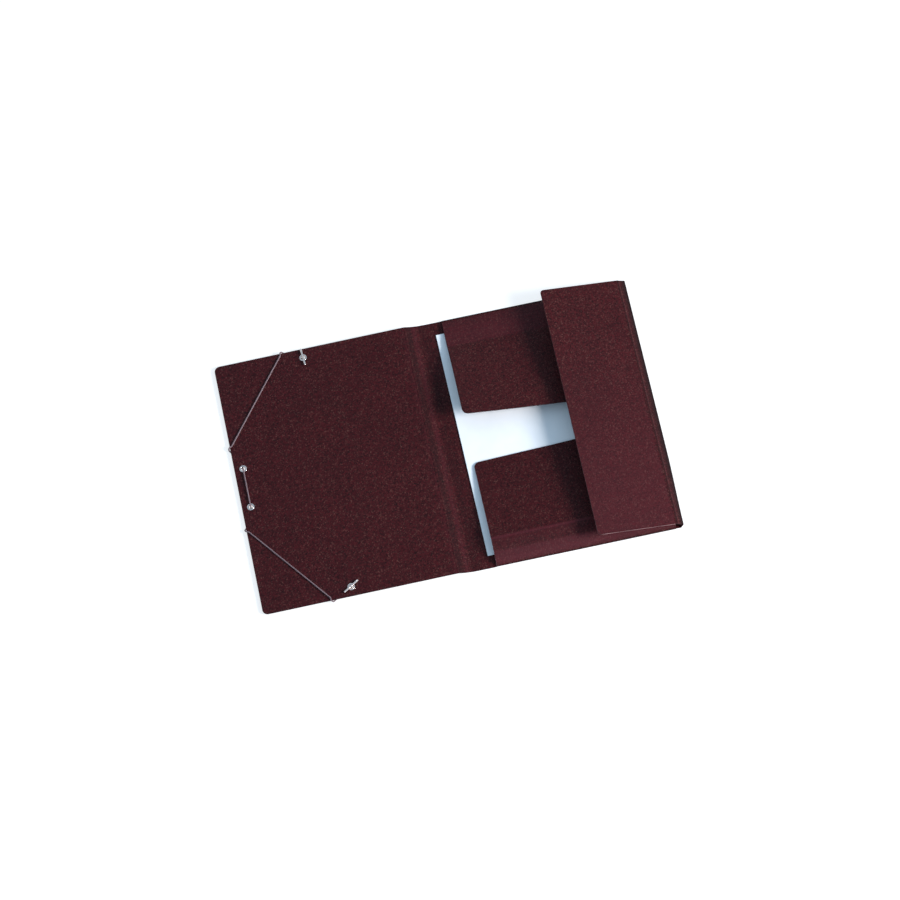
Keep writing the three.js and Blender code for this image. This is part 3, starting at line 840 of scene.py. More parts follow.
class FolderLine:
    """The card's middle line from the cover's free edge to the side flap's free edge."""

    def __init__(self, sizes: CardSizes, joints: dict[str, dict]) -> None:
        """Lays the line through the folder's creases.

        Args:
            sizes: the card's sizes.
            joints: the frame's joints by name, which give the creases' places.
        """
        self.sizes = sizes
        back_crease = joints["spine_fold"]["pos_m"]
        cover_crease = joints["cover_fold"]["pos_m"]
        side_crease = joints["side_flap_fold"]["pos_m"]
        half = sizes.thickness / 2
        cover_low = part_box("front_cover")[0]
        cover_drop = cover_crease[2] - cover_low.z - sizes.thickness
        tilt = math.degrees(math.asin(cover_drop / (cover_crease[0] - cover_low.x)))
        side_bend = sizes.side_bend_radius * math.radians(sizes.side_headings[0])
        flat = sizes.back_width - sizes.side_bend_radius
        tips = [-tip for tip in reversed(sizes.spine_tips)]
        lengths = [sizes.cover_width] + [sizes.spine_strip] * len(tips)
        lengths += [flat + side_bend / 2, sizes.side_strips[0] + side_bend / 2]
        lengths += [sizes.side_strips[1], sizes.side_flap_length]
        headings = [tilt, *tips, 0.0, *sizes.side_headings, sizes.side_flap_heading]
        bends = [sizes.crease_bend] * len(tips) + [sizes.crease_bend, side_bend]
        bends += [sizes.crease_bend, sizes.crease_bend]
        self.line = BentLine(lengths, headings, bends)
        marks = self.line.marks
        self.cover_crease = marks[0]
        self.spine_creases = marks[1 : len(tips)]
        self.back_crease = marks[len(tips)]
        self.side_bend = marks[len(tips) + 1]
        self.gusset_crease = marks[len(tips) + 2]
        self.side_crease = marks[len(tips) + 3]
        self.line.shift(self.back_crease, (back_crease[0], back_crease[2] - half))
        end = self.line.at(np.array([self.side_crease]))[0]
        log.info(
            "card line: side crease %.2f mm from its joint",
            1000 * math.hypot(end[0] - side_crease[0], end[1] - side_crease[2]),
        )

    def stretch(self, board: Board) -> tuple[float, float]:
        """First and last arc length of one board's piece."""
        half = self.sizes.crease_half
        ranges = {
            Board.COVER: (0.0, self.cover_crease - half),
            Board.COVER_CREASE: (self.cover_crease - half, self.cover_crease + half),
            Board.SPINE: (self.cover_crease + half, self.back_crease - half),
            Board.BACK_CREASE: (self.back_crease - half, self.back_crease + half),
            Board.BACK: (self.back_crease + half, self.side_crease - half),
            Board.SIDE_CREASE: (self.side_crease - half, self.side_crease + half),
            Board.SIDE_FLAP: (self.side_crease + half, self.line.length),
        }
        return ranges[board]

    def creases(self) -> Array:
        """Arc lengths of every crease line that is pressed into the card."""
        spine = [self.cover_crease, *self.spine_creases, self.back_crease]
        return np.array([*spine, self.gusset_crease, self.side_crease])

    def samples(self, board: Board, extra: tuple[float, ...] = ()) -> Array:
        """Arc lengths for one board's grid, close together at its creases.

        Args:
            board: the board.
            extra: further places that need a sample.

        Returns:
            Sorted arc lengths.
        """
        coarse, reach, clear, closest = 6 * MM, 2.4 * MM, 0.1 * MM, 0.05 * MM
        start, end = self.stretch(board)
        base = np.linspace(start, end, max(4, int((end - start) / coarse) + 2))
        near = np.linspace(-reach, reach, 13)
        fine = np.concatenate([mark + near for mark in [*self.creases(), self.side_bend]])
        fine = fine[(fine > start + clear) & (fine < end - clear)]
        every = np.unique(np.round(np.concatenate([base, fine, np.asarray(extra, float)]), 7))
        return every[np.concatenate([[True], np.diff(every) > closest])]

    def groove(self, s: Array) -> Array:
        """Depth that the creasing rule presses into the inner face, as bell curves."""
        twin = 1.5 * MM
        lines = [self.cover_crease - twin, self.cover_crease + twin, *self.spine_creases]
        lines += [self.back_crease, self.gusset_crease]
        return -CREASE_DEPTH * sum(bell(s, line, CREASE_WIDTH) for line in lines)

    def rub(self, s: Array) -> Array:
        """Painted light and shade along the card's line: bell curves of a level, a middle and a width.

        A painted highlight lies beside the cover's crease line and on the second strip, which
        faces the light; painted shade darkens the first strip, the spine's valley side and the
        side gusset's and side flap's creases.
        """
        strip = self.sizes.spine_strip
        # Painted light: highlights where strips face the light, painted shade where they face away or
        # sit in a crease.
        bells = [
            (0.4, self.cover_crease - 2.2 * MM, 0.8 * MM),
            (-0.6, self.cover_crease + 0.5 * strip, 0.45 * strip),
            (0.45, self.spine_creases[0] + 0.25 * strip, 0.3 * strip),
            (-0.3, self.spine_creases[1] + 0.6 * strip, 0.6 * strip),
            (-0.7, self.side_crease, 0.9 * MM),
            (-1.0, self.gusset_crease, 4.2 * MM),
        ]
        return sum(level * bell(s, middle, width) for level, middle, width in bells)


def waviness(x: Array, y: Array, height: float) -> Array:
    """Slow unevenness of a large board: three long sine waves, in radians a metre."""
    first = np.sin(x * 21.0 + 0.7) * np.cos(y * 17.0 + 1.1)
    second = np.sin(x * 9.0 - y * 26.0 + 2.0)
    third = np.cos(x * 34.0 + y * 12.0)
    return height * (0.5 * first + 0.3 * second + 0.2 * third)


@dataclass
class Boards:
    """The cover, spine, back panel and side flap, and the soft creases between them.

    Attributes:
        sizes: the card's sizes.
        line: the card's line across the folder.
        finishes: the folder's materials.
        board_wave: unevenness of the cover.
        gusset_bulge: how far the side gusset swells outwards.
        bulge_low: share of that swell that is left at the bottom end.
        paling_to_bottom: how much paler the side flap's colour gets towards its bottom end.
        row_step: distance between samples along Y.
        back_rows: number of samples along Y on the back panel.
        notch_step: half the width of the step in the back panel's edge at a flap's end.
    """

    sizes: CardSizes
    line: FolderLine
    finishes: Finishes
    board_wave: float = 0.25 * MM
    gusset_bulge: float = 2.8 * MM
    bulge_low: float = 0.35
    paling_to_bottom: float = 0.5
    row_step: float = 7 * MM
    back_rows: int = 52
    notch_step: float = 0.04 * MM

    def rows(self, half: float, radius: float = 0.0) -> Array:
        """Places along Y from -half to half, close together at rounded corners."""
        count = int(2 * half / self.row_step) + 2
        if radius <= 0.0:
            return np.linspace(-half, half, count)
        turn = corner_steps(radius)
        middle = np.linspace(radius - half, half - radius, count)[1:-1]
        return np.concatenate([turn - half, middle, half - turn[::-1]])

    def surface(self, s: Array, y: Array) -> Array:
        """Grid of the card's middle surface at arc lengths s, of shape (rows, columns, 3)."""
        place = self.line.line.at(s.ravel()).reshape(*s.shape, 2)
        return np.stack([place[..., 0] + self.bulge(s, y), y, place[..., 1]], axis=-1)

    def bulge(self, s: Array, y: Array) -> Array:
        """How far the side gusset swells outwards: a sine squared between its two creases.

        It is fullest from the middle to the top end and falls off towards the bottom end.
        """
        start = self.line.side_bend + self.sizes.crease_half
        end = self.line.side_crease - self.sizes.crease_half
        share = np.clip((s - start) / (end - start), 0.0, 1.0)
        fullness = self.bulge_low + (1.0 - self.bulge_low) * smooth_step(y, -175 * MM, -70 * MM)
        return self.gusset_bulge * fullness * np.sin(math.pi * share) ** 2

    def plain(self, board: Board, half: float) -> tuple[Array, Array]:
        """Grid of a board between two straight ends, and the arc length of each point."""
        s, y = np.meshgrid(self.line.samples(board), self.rows(half), indexing="ij")
        return self.surface(s, y), s

    def rounded(self, board: Board, half: float, radius: float, first: bool) -> tuple[Array, Array]:
        """Grid of a board with two rounded free corners.

        Args:
            board: the board.
            half: half its height.
            radius: the corners' radius.
            first: whether its free edge is at the start of its line.

        Returns:
            The grid, and the arc length of each point.
        """
        y = self.rows(half, radius)
        start, end = self.line.stretch(board)
        extra = tuple(np.linspace(0.0, 12 * MM, 7)[1:]) if first else ()
        share = (self.line.samples(board, extra) - start) / (end - start)
        loss = corner_loss(np.minimum(y + half, half - y), radius)[None, :]
        s = (start + loss if first else start) + (end - start - loss) * share[:, None]
        return self.surface(s, np.broadcast_to(y, s.shape)), s

    def sheet(self, middle: Array, s: Array, *open_sides: Side) -> CardSheet:
        """A card sheet with the pressed creases in its inner face and painted light along its line."""
        relief, rub = self.line.groove(s), self.line.rub(s)
        return CardSheet(middle, self.sizes.thickness, self.sizes.ease, open_sides, relief, rub)

    def cover(self, fittings: Fittings) -> None:
        """The front cover, with rounded free corners and holes for its eyelets."""
        half, radius = self.sizes.half_height, self.sizes.corner_radius
        middle, s = self.rounded(Board.COVER, half, radius, first=True)
        end = self.line.stretch(Board.COVER)[1]
        calm = smooth_step(end - s, 0.0, 60 * MM) * smooth_step(s, 0.0, 40 * MM)
        middle[..., 2] += waviness(middle[..., 0], middle[..., 1], self.board_wave) * calm
        sheet = self.sheet(middle, s, Side.U_END)
        piece = sheet.build("cover_board", self.finishes.card("cover_card"))
        fittings.cut_holes(piece)
        dress(piece, "cover", "front_cover")

    def spine(self) -> None:
        """The spine's four strips."""
        sheet = self.sheet(*self.plain(Board.SPINE, self.sizes.half_height), Side.U_START, Side.U_END)
        piece = sheet.build("spine_board", self.finishes.card("cover_card"))
        dress(piece, "spine", "spine")

    def crease(self, board: Board, name: str, slot: str) -> None:
        """A strip of card along a crease, left in the row frame without a body.

        Args:
            board: which crease.
            name: the piece's name.
            slot: the record's material slot.
        """
        inset = self.sizes.side_inset if board is Board.SIDE_CREASE else 0.0
        middle, s = self.plain(board, self.sizes.half_height - inset)
        piece = self.sheet(middle, s, Side.U_START, Side.U_END).build(name, self.finishes.card(slot))
        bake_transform(piece)
        report(piece)

    def back(self, flaps: FoldedFlaps) -> None:
        """The back panel, notched where the flaps fold over, and its side gusset."""
        notch_start = self.line.back_crease + flaps.inset_left
        notch_end = self.line.back_crease + self.sizes.back_width - flaps.inset_right
        step = self.notch_step
        edges = (notch_start - step, notch_start + step, notch_end - step, notch_end + step)
        s_values = self.line.samples(Board.BACK, edges)
        inset = np.zeros_like(s_values)
        inset[(s_values > notch_start) & (s_values < notch_end)] = flaps.fold_reach
        inset[s_values > notch_end] = self.sizes.side_inset
        share = np.linspace(-1.0, 1.0, self.back_rows)
        y = share[None, :] * (self.sizes.half_height - inset[:, None])
        s = np.broadcast_to(s_values[:, None], y.shape)
        sheet = self.sheet(self.surface(s, y), s, Side.U_START, Side.U_END)
        piece = sheet.build("back_board", self.finishes.card("folded_card"))
        dress(piece, "tray", "back_panel")

    def side_flap(self) -> None:
        """The side flap, raised at its free edge."""
        half = self.sizes.half_height - self.sizes.side_inset
        middle, s = self.rounded(Board.SIDE_FLAP, half, self.sizes.side_flap_corner, first=False)
        sheet = self.sheet(middle, s, Side.U_START)
        sheet.pale_edge_sides = (Side.V_START,)
        # The side flap's colour gets paler towards its bottom end.
        sheet.rub = sheet.rub + self.paling_to_bottom * (1.0 - smooth_step(middle[..., 1], -half, half))
        piece = sheet.build("side_flap_board", self.finishes.card("folded_card"))
        dress(piece, "side_flap", "side_flap")

    def build(self, fittings: Fittings, flaps: FoldedFlaps) -> None:
        """Builds every board and crease."""
        self.cover(fittings)
        self.crease(Board.COVER_CREASE, "cover_crease_strip", "cover_card")
        self.spine()
        self.crease(Board.BACK_CREASE, "back_crease_strip", "cover_card")
        self.back(flaps)
        self.crease(Board.SIDE_CREASE, "side_crease_strip", "folded_card")
        self.side_flap()


# Bottom and top flaps


@dataclass
class FoldedFlaps:
    """The two flaps that fold in over the paper, each with a gusset of four strips."""

    sizes: CardSizes
    finishes: Finishes
    panel_x: float
    panel_z: float
    inset_left: float = 12.4 * MM
    inset_right: float = 7 * MM
    fold_radius: float = 0.9 * MM
    length: float = 111 * MM
    taper: float = 0.027
    corner_radius: float = 7 * MM
    crease_bend: float = 1.4 * MM
    bottom_strips: tuple[float, ...] = (8.8 * MM,) * 4
    bottom_tips: tuple[float, ...] = (34.0, 24.0, 16.0, 8.0)
    bottom_end_lift: float = 0.68
    bottom_free_edge: float = 3.9 * MM
    top_strips: tuple[float, ...] = (13.2 * MM, 7.6 * MM, 7.2 * MM, 10.4 * MM)
    top_tips: tuple[float, ...] = (5.0, 1.0, 1.0, 2.0)
    top_free_edge_left: float = 30.5 * MM
    top_free_edge_right: float = 6 * MM
    top_curl_power: float = 1.15
    # Painted light on the gusset strips, for their tilt to the light and their sheen, with some wear
    # along folds.
    bottom_painted_light_and_wear: tuple[float, ...] = (1.0, 0.8, 0.2, 0.25, 0.0)
    top_painted_sheen_and_wear: tuple[float, ...] = (0.35, 0.5, 0.55, 0.5, 0.0)
    top_swell: float = 6 * MM
    swell_lean: float = 0.44
    swell_fade: float = 1.6
    # Painted shade along the outside of each flap's fold.
    fold_painted_shade: float = 2.0
    fold_painted_shade_reach: float = 3.4 * MM
    # Painted highlight along the bottom gusset's last crease.
    ridge_painted_highlight: float = 1.0
    ridge_width: float = 1.5 * MM
    fold_samples: int = 9
    strip_samples: int = 11
    tail_samples: int = 7
    flap_samples: int = 22
    column_count: int = 34

    @property
    def fold_reach(self) -> float:
        """How far the outside of the fold stands out from where the panel ends."""
        return self.fold_radius + self.sizes.thickness / 2

    @property
    def width(self) -> float:
        """Width of a flap along its fold."""
        return self.sizes.back_width - self.inset_left - self.inset_right

    def columns(self) -> Array:
        """Places across a flap, measured from its left end, close at the rounded corner."""
        right = np.linspace(self.corner_radius, self.width, self.column_count)[1:]
        return np.concatenate([corner_steps(self.corner_radius), right])

    def middle(self, strips: tuple[float, ...], tips: Array, free_edge: Array) -> tuple:
        """Middle surface of a flap as distance in from the board's edge, and height.

        The line at each column starts at the panel, turns round the fold, runs over the
        gusset strips and then straight to the free edge. Headings turn by arcs at each
        crease, and the points are their running sum.

        Args:
            strips: widths of the gusset's strips.
            tips: heading of each strip at each column, in degrees, of shape (columns, strips).
            free_edge: height of the free edge at each column.

        Returns:
            Distances and heights of shape (columns, samples), the arc lengths of the samples
            and those of the creases.
        """
        across = self.columns()
        fold_turn = np.radians(180.0 - tips[:, :1])
        fold_length = self.fold_radius * float(fold_turn.mean())
        starts = np.concatenate([[fold_length], fold_length + np.cumsum(strips)])
        parts = [np.linspace(0.0, fold_length, self.fold_samples)]
        parts += [clustered(a, b, self.strip_samples)[1:] for a, b in zip(starts[:-1], starts[1:])]
        tail = 3.0 * self.crease_bend
        parts += [starts[-1] + np.linspace(0.0, tail, self.tail_samples)[1:]]
        gusset_s = np.concatenate(parts)
        marks = starts[1:]
        crease_z = self.crease_height(strips, tips)
        full = self.length + self.taper * across
        last_heading = np.degrees(np.arcsin((free_edge - crease_z) / full))
        after = np.concatenate([tips, last_heading[:, None]], axis=1)
        middle_s = (gusset_s[1:] + gusset_s[:-1]) / 2
        heading = np.pi - fold_turn * np.clip(middle_s / fold_length, 0.0, 1.0)
        for k, mark in enumerate(marks):
            turn = np.radians(after[:, k + 1 : k + 2] - after[:, k : k + 1])
            heading = heading + turn * np.clip((middle_s - mark) / self.crease_bend + 0.5, 0.0, 1.0)
        step = np.diff(gusset_s)
        first = np.zeros((len(across), 1))
        inwards = np.concatenate([first, np.cumsum(step * np.cos(heading), axis=1)], axis=1)
        up = np.concatenate([first, np.cumsum(step * np.sin(heading), axis=1)], axis=1)
        inwards += self.fold_reach
        up += self.sizes.thickness / 2
        kept = full - tail - corner_loss(across, self.corner_radius)
        share = np.linspace(0.0, 1.0, self.flap_samples)[1:]
        angle = np.radians(last_heading)[:, None]
        reach = kept[:, None] * share[None, :]
        inwards = np.concatenate([inwards, inwards[:, -1:] + reach * np.cos(angle)], axis=1)
        up = np.concatenate([up, up[:, -1:] + reach * np.sin(angle)], axis=1)
        s_all = np.concatenate([gusset_s, gusset_s[-1] + share * float(kept.mean())])
        return inwards, up, s_all, marks

    def crease_height(self, strips: tuple[float, ...], tips: Array) -> Array:
        """Height of the last gusset crease at each column, from the strips' headings."""
        fold_top = self.sizes.thickness / 2 + self.fold_radius * (1.0 + np.cos(np.radians(tips[:, 0])))
        return fold_top + np.sum(np.asarray(strips) * np.sin(np.radians(tips)), axis=1)

    def rub(self, s: Array, marks: Array, levels: tuple[float, ...], ridge: float) -> Array:
        """Painted light on each strip: its level, with a smooth step at each crease.

        Painted shade darkens the fold itself.

        Args:
            s: arc lengths from the panel.
            marks: arc lengths of the creases.
            levels: painted light on each strip and the flap, with some wear along folds.
            ridge: painted highlight added along the last crease.

        Returns:
            The painted light and shade, from -1 to 1.
        """
        half_step = 1.5 * MM
        # Painted shade at the fold.
        value = levels[0] - self.fold_painted_shade * bell(s, 0.0, self.fold_painted_shade_reach)
        for mark, before, after in zip(marks, levels[:-1], levels[1:]):
            value = value + (after - before) * smooth_step(s, mark - half_step, mark + half_step)
        # Painted highlight along the last crease.
        return np.clip(value + ridge * bell(s, marks[-1], self.ridge_width), -1.0, 1.0)

    def swell(self, inwards: Array) -> Array:
        """How the top flap's left end bows up and forwards between its fold and free edge.

        The height is half a sine wave from fold to free edge, squared off towards the right.

        Args:
            inwards: distance in from the board's edge, of shape (columns, samples).

        Returns:
            The shift of each point.
        """
        across = self.columns()[:, None] / self.width
        share = np.clip(inwards / inwards.max(axis=1, keepdims=True), 0.0, 1.0)
        fade = np.clip(1.0 - self.swell_fade * across, 0.0, 1.0) ** 2
        height = self.top_swell * np.sin(math.pi * share) * fade
        return height[..., None] * np.array([0.0, -self.swell_lean, 1.0])

    def flap(self, name: str, parts: tuple, levels: tuple[float, ...], from_top: bool) -> None:
        """Makes one flap from its middle surface.

        Args:
            name: the piece's name.
            parts: distances, heights, arc lengths of samples and of creases.
            levels: painted light on each strip and the flap, with some wear along folds.
            from_top: whether it folds in from the boards' top edge.
        """
        inwards, up, s, marks = parts
        half = self.sizes.half_height
        x = np.broadcast_to((self.panel_x + self.inset_left + self.columns())[:, None], inwards.shape)
        y = half - inwards if from_top else inwards - half
        middle = np.stack([x, y, up + self.panel_z], axis=-1)
        groove = -CREASE_DEPTH * sum(bell(s, mark, CREASE_WIDTH) for mark in marks)
        relief = np.broadcast_to(groove, inwards.shape)
        # Painted light and shade over the flap's strips, fold and last crease.
        rub = self.rub(s, marks, levels, 0.0 if from_top else self.ridge_painted_highlight)
        rub = np.broadcast_to(rub, inwards.shape)
        if from_top:
            middle = (middle + self.swell(inwards))[::-1]
            relief, rub = relief[::-1], rub[::-1]
        sheet = CardSheet(
            middle, self.sizes.thickness, self.sizes.ease, (Side.V_START,), relief, rub
        )
        sheet.pale_edge_sides = () if from_top else (Side.U_START,)
        piece = sheet.build(name, self.finishes.card("folded_card"))
        dress(piece, "tray", "back_panel")

    def build(self) -> None:
        """Builds both flaps."""
        across = self.columns() / self.width
        lift = 1.0 - (1.0 - self.bottom_end_lift) * smooth_step(across, 0.4, 1.0)
        bottom_tips = lift[:, None] * np.asarray(self.bottom_tips)[None, :]
        low_edge = np.full(len(across), self.bottom_free_edge)
        bottom = self.middle(self.bottom_strips, bottom_tips, low_edge)
        self.flap("bottom_flap", bottom, self.bottom_painted_light_and_wear, from_top=False)
        rise = self.top_free_edge_left - self.top_free_edge_right
        high_edge = self.top_free_edge_right + rise * (1.0 - across) ** self.top_curl_power
        top_tips = np.broadcast_to(np.asarray(self.top_tips), (len(across), len(self.top_tips)))
        top = self.middle(self.top_strips, top_tips, high_edge)
        self.flap("top_flap", top, self.top_painted_sheen_and_wear, from_top=True)


# Paper


@dataclass
class PaperStack:
    """Loose folio sheets, each a thin slab a little out of line with the rest."""

    finishes: Finishes
    centre: tuple[float, float]
    bottom: float
    width: float = 215 * MM
    height: float = 315 * MM
    depth: float = 1.2 * MM
    turn: float = 0.5
    turn_shuffle: float = 0.06
    count: int = 8
    shuffle: float = 0.35 * MM
    fullness: float = 0.86
    ease_share: float = 0.2

    def build(self) -> None:
        """Makes the stack as one piece, its sheets a hair apart."""
        random = np.random.default_rng(7)
        pitch = self.depth / self.count
        thickness = pitch * self.fullness
        u, v = np.meshgrid(np.linspace(-0.5, 0.5, 12), np.linspace(-0.5, 0.5, 16), indexing="ij")
        sheets = []
        for k in range(self.count):
            angle = math.radians(self.turn + random.uniform(-self.turn_shuffle, self.turn_shuffle))
            cosine, sine = math.cos(angle), math.sin(angle)
            shift = random.uniform(-self.shuffle, self.shuffle, 2)
            x, y = u * self.width + shift[0], v * self.height + shift[1]
            turned_x = self.centre[0] + x * cosine - y * sine
            turned_y = self.centre[1] + x * sine + y * cosine
            level = np.full_like(x, self.bottom + pitch * (k + 0.5))
            middle = np.stack([turned_x, turned_y, level], axis=-1)
            sheet = CardSheet(middle, thickness, thickness * self.ease_share)
            sheets.append(sheet.build(f"sheet_{k}", [self.finishes.paper, self.finishes.paper]))
        dress(join(sheets, "paper_stack"), "tray", "paper_sheets")


def join(pieces: list[Piece], name: str) -> Piece:
    """Joins pieces into the first one and names it."""
    bpy.ops.object.select_all(action="DESELECT")
    for piece in pieces:
        piece.select_set(True)
    bpy.context.view_layer.objects.active = pieces[0]
    bpy.ops.object.join()
    pieces[0].name = name
    pieces[0].data.name = name
    return pieces[0]


# Elastic and metal


@dataclass
class Fittings:
    """The elastic cord on the cover, its four eyelets and its two end bars.

    Places are in the cover's own plane: x from its free edge, y from its middle, z from its
    inner face.
    """

    sizes: CardSizes
    finishes: Finishes
    hinge: tuple[float, float]
    tilt: float
    gap: float = 0.25 * MM
    cord_diameter: float = 1.8 * MM
    bore: float = 5.2 * MM
    wall: float = 0.45 * MM
    flange_diameter: float = 9.4 * MM
    flange: float = 0.45 * MM
    cord_eyelet_inset: float = 11.3 * MM
    cord_eyelet_spacing: float = 54 * MM
    end_eyelet_x: float = 115 * MM
    end_eyelet_inset: float = 12.5 * MM
    edge_crossing_x: float = 89.3 * MM
    side_crossing: float = 57 * MM
    bar_length: float = 24 * MM
    bar_diameter: float = 2.6 * MM
    bar_turns: tuple[float, float] = (94.0, 32.5)
    bend: float = 1.3 * MM
    top_drift: float = -4.5 * MM
    side_drift: float = 5.5 * MM

    @property
    def face(self) -> float:
        """Height of a flange's outside over the card."""
        return self.gap + self.flange

    @property
    def over_flange(self) -> float:
        """Height of the cord's middle over the card where it passes a flange."""
        return self.face + self.gap + self.cord_diameter / 2

    @property
    def over_card(self) -> float:
        """Height of the cord's middle over the card where it lies on it."""
        return self.gap + self.cord_diameter / 2

    def place(self, x: float, y: float, z: float = 0.0) -> Matrix:
        """The cover's own plane in the row frame, shifted to a point of that plane."""
        free_edge = Matrix.Translation((-self.sizes.cover_width, 0.0, 0.0))
        turned = Matrix.Rotation(-self.tilt, 4, "Y")
        plane = Matrix.Translation((self.hinge[0], 0.0, self.hinge[1])) @ turned @ free_edge
        return plane @ Matrix.Translation((x, y, z))

    def eyelets(self) -> dict[str, tuple[float, float]]:
        """Place of each eyelet on the cover."""
        end_y = self.sizes.half_height - self.end_eyelet_inset
        return {
            "cord_eyelet_upper": (self.cord_eyelet_inset, self.cord_eyelet_spacing / 2),
            "cord_eyelet_lower": (self.cord_eyelet_inset, -self.cord_eyelet_spacing / 2),
            "end_eyelet_top": (self.end_eyelet_x, end_y),
            "end_eyelet_bottom": (self.end_eyelet_x, -end_y),
        }

    def cut_holes(self, board: Piece) -> None:
        """Cuts the eyelets' holes through the cover."""
        radius, reach = self.bore / 2 + self.wall + self.gap, 5 * MM
        profile = np.array([[0.0, -reach], [radius, -reach], [radius, reach], [0.0, reach]])
        for name, place in self.eyelets().items():
            cutter = revolve(f"cut_{name}", profile, 32, self.finishes.edge, self.place(*place))
            cut = board.modifiers.new("hole", "BOOLEAN")
            cut.operation = "DIFFERENCE"
            cut.solver = "EXACT"
            cut.object = cutter
            bpy.context.view_layer.objects.active = board
            bpy.ops.object.modifier_apply(modifier=cut.name)
            bpy.data.objects.remove(cutter)

    def eyelet(self, name: str, place: tuple[float, float]) -> None:
        """A rolled eyelet: a thin barrel with a domed flange on each face of the card."""
        inner, barrel, rim = self.bore / 2, self.bore / 2 + self.wall, self.flange_diameter / 2
        turn = np.linspace(math.pi, 0.0, 13)
        across = (rim + inner) / 2 + (rim - inner) / 2 * np.cos(turn)
        dome = np.stack([across, self.flange * np.sin(turn)], axis=-1)
        under = -self.sizes.thickness - self.gap
        upper = dome + [0.0, self.gap]
        lower = dome * [1.0, -1.0] + [0.0, under]
        inside = np.array([[barrel, self.gap], [barrel, under]])
        profile = np.concatenate([upper, inside, lower[::-1], upper[:1]])
        piece = revolve(f"{name}_ring", profile, 40, self.finishes.nickel, self.place(*place))
        dress(piece, "cover", name)

    def end_bar(self, name: str, place: tuple[float, float], turn: float) -> None:
        """The metal bar across an end eyelet: a round bar with domed ends and a clamped waist."""
        radius, half = self.bar_diameter / 2, self.bar_length / 2
        cap = np.linspace(0.0, math.pi / 2, 7)
        ends = np.stack([radius * np.sin(cap), -half + 0.5 * radius * (1.0 - np.cos(cap))], axis=-1)
        waist = np.linspace(-half + 0.5 * radius, half - 0.5 * radius, 41)[1:-1]
        ring = bell(np.abs(waist), 2.2 * MM, 0.5 * MM)
        body = np.stack([radius * (1.0 - 0.10 * ring), waist], axis=-1)
        profile = np.concatenate([ends, body, (ends * [1.0, -1.0])[::-1]])
        flat = Matrix.Rotation(math.radians(turn), 4, "Z") @ Matrix.Rotation(math.pi / 2, 4, "Y")
        matrix = self.place(*place, self.face + self.gap + radius) @ flat
        piece = revolve(f"{name}_metal", profile, 28, self.finishes.nickel, matrix)
        dress(piece, "cover", name)

    def quarter(self, centre: Array, towards: Array, level: float, up: bool) -> Array:
        """Quarter turn from a run through a bore to a level run, nine points."""
        angle = np.linspace(0.0, math.pi / 2, 9)
        out = self.bend * (1.0 - np.cos(angle))
        drop = self.bend * (1.0 - np.sin(angle)) * (1.0 if up else -1.0)
        flat = centre[None, :] + out[:, None] * towards[None, :]
        return np.column_stack([flat, level + drop])

    def wrap(self, crossing: Array, outwards: Array, drift: Array) -> Array:
        """Half turn round the card's edge, from its underside to its inner face."""
        half_card = self.sizes.thickness / 2
        reach = half_card + self.over_card
        angle = np.linspace(-math.pi / 2, math.pi / 2, 15)
        slide = np.linspace(-0.5, 0.5, 15)[:, None] * drift[None, :]
        flat = crossing[None, :] + reach * np.cos(angle)[:, None] * outwards[None, :] + slide
        return np.column_stack([flat, -half_card + reach * np.sin(angle)])

    def route(self) -> Array:
        """The cord's middle line on the cover, upper half first, then its mirror image."""
        holes = self.eyelets()
        end_hole = np.array(holes["end_eyelet_top"])
        cord_hole = np.array(holes["cord_eyelet_upper"])
        top = np.array([self.edge_crossing_x, self.sizes.half_height])
        side = np.array([0.0, self.side_crossing])
        under = -self.sizes.thickness - self.over_flange
        middle = -self.sizes.thickness / 2
        to_top = unit(top - end_hole)
        to_side = unit(side - cord_hole)
        down = np.array([0.0, -1.0])
        past = self.flange_diameter / 2 + 2 * MM
        share = np.linspace(0.03, 0.97, 24)[:, None]
        diagonal = np.column_stack([top + (side - top) * share, np.full(len(share), self.over_card)])
        parts = [
            [[*end_hole, self.face - self.gap / 2], [*end_hole, middle]],
            self.quarter(end_hole, to_top, under, up=True),
            [[*(end_hole + past * to_top), under]],
            self.wrap(top, np.array([0.0, 1.0]), np.array([self.top_drift, 0.0])),
            diagonal,
            self.wrap(side, np.array([-1.0, 0.0]), np.array([0.0, self.side_drift]))[::-1],
            [[*(cord_hole + past * to_side), under]],
            self.quarter(cord_hole, to_side, under, up=True)[::-1],
            [[*cord_hole, middle]],
            self.quarter(cord_hole, down, self.over_flange, up=False),
            [[*(cord_hole + past * down), self.over_flange]],
        ]
        upper = np.concatenate([np.asarray(part, float) for part in parts])
        return np.concatenate([upper, upper[::-1] * [1.0, -1.0, 1.0]])

    def cord(self) -> None:
        """The elastic cord, held all the way by the cover."""
        matrix = np.array(self.place(0.0, 0.0))
        path = self.route() @ matrix[:3, :3].T + matrix[:3, 3]
        piece = sweep("elastic_braid", path, self.cord_diameter / 2, 14, self.finishes.elastic)
        dress(piece, "cover", "elastic_cord")

    def build(self) -> None:
        """Builds the cord, the eyelets and the end bars."""
        self.cord()
        places = self.eyelets()
        for name, place in places.items():
            self.eyelet(name, place)
        for end, turn in zip(("top", "bottom"), self.bar_turns):
            self.end_bar(f"cord_end_bar_{end}", places[f"end_eyelet_{end}"], turn)


# Camera and studio


def direction(azimuth: float, elevation: float) -> Vector:
    """Unit vector at a turn to the right of +Y and a height above the horizon, in degrees."""
    turn, height = math.radians(azimuth), math.radians(elevation)
    level = math.cos(height)
    return Vector((math.sin(turn) * level, math.cos(turn) * level, math.sin(height)))


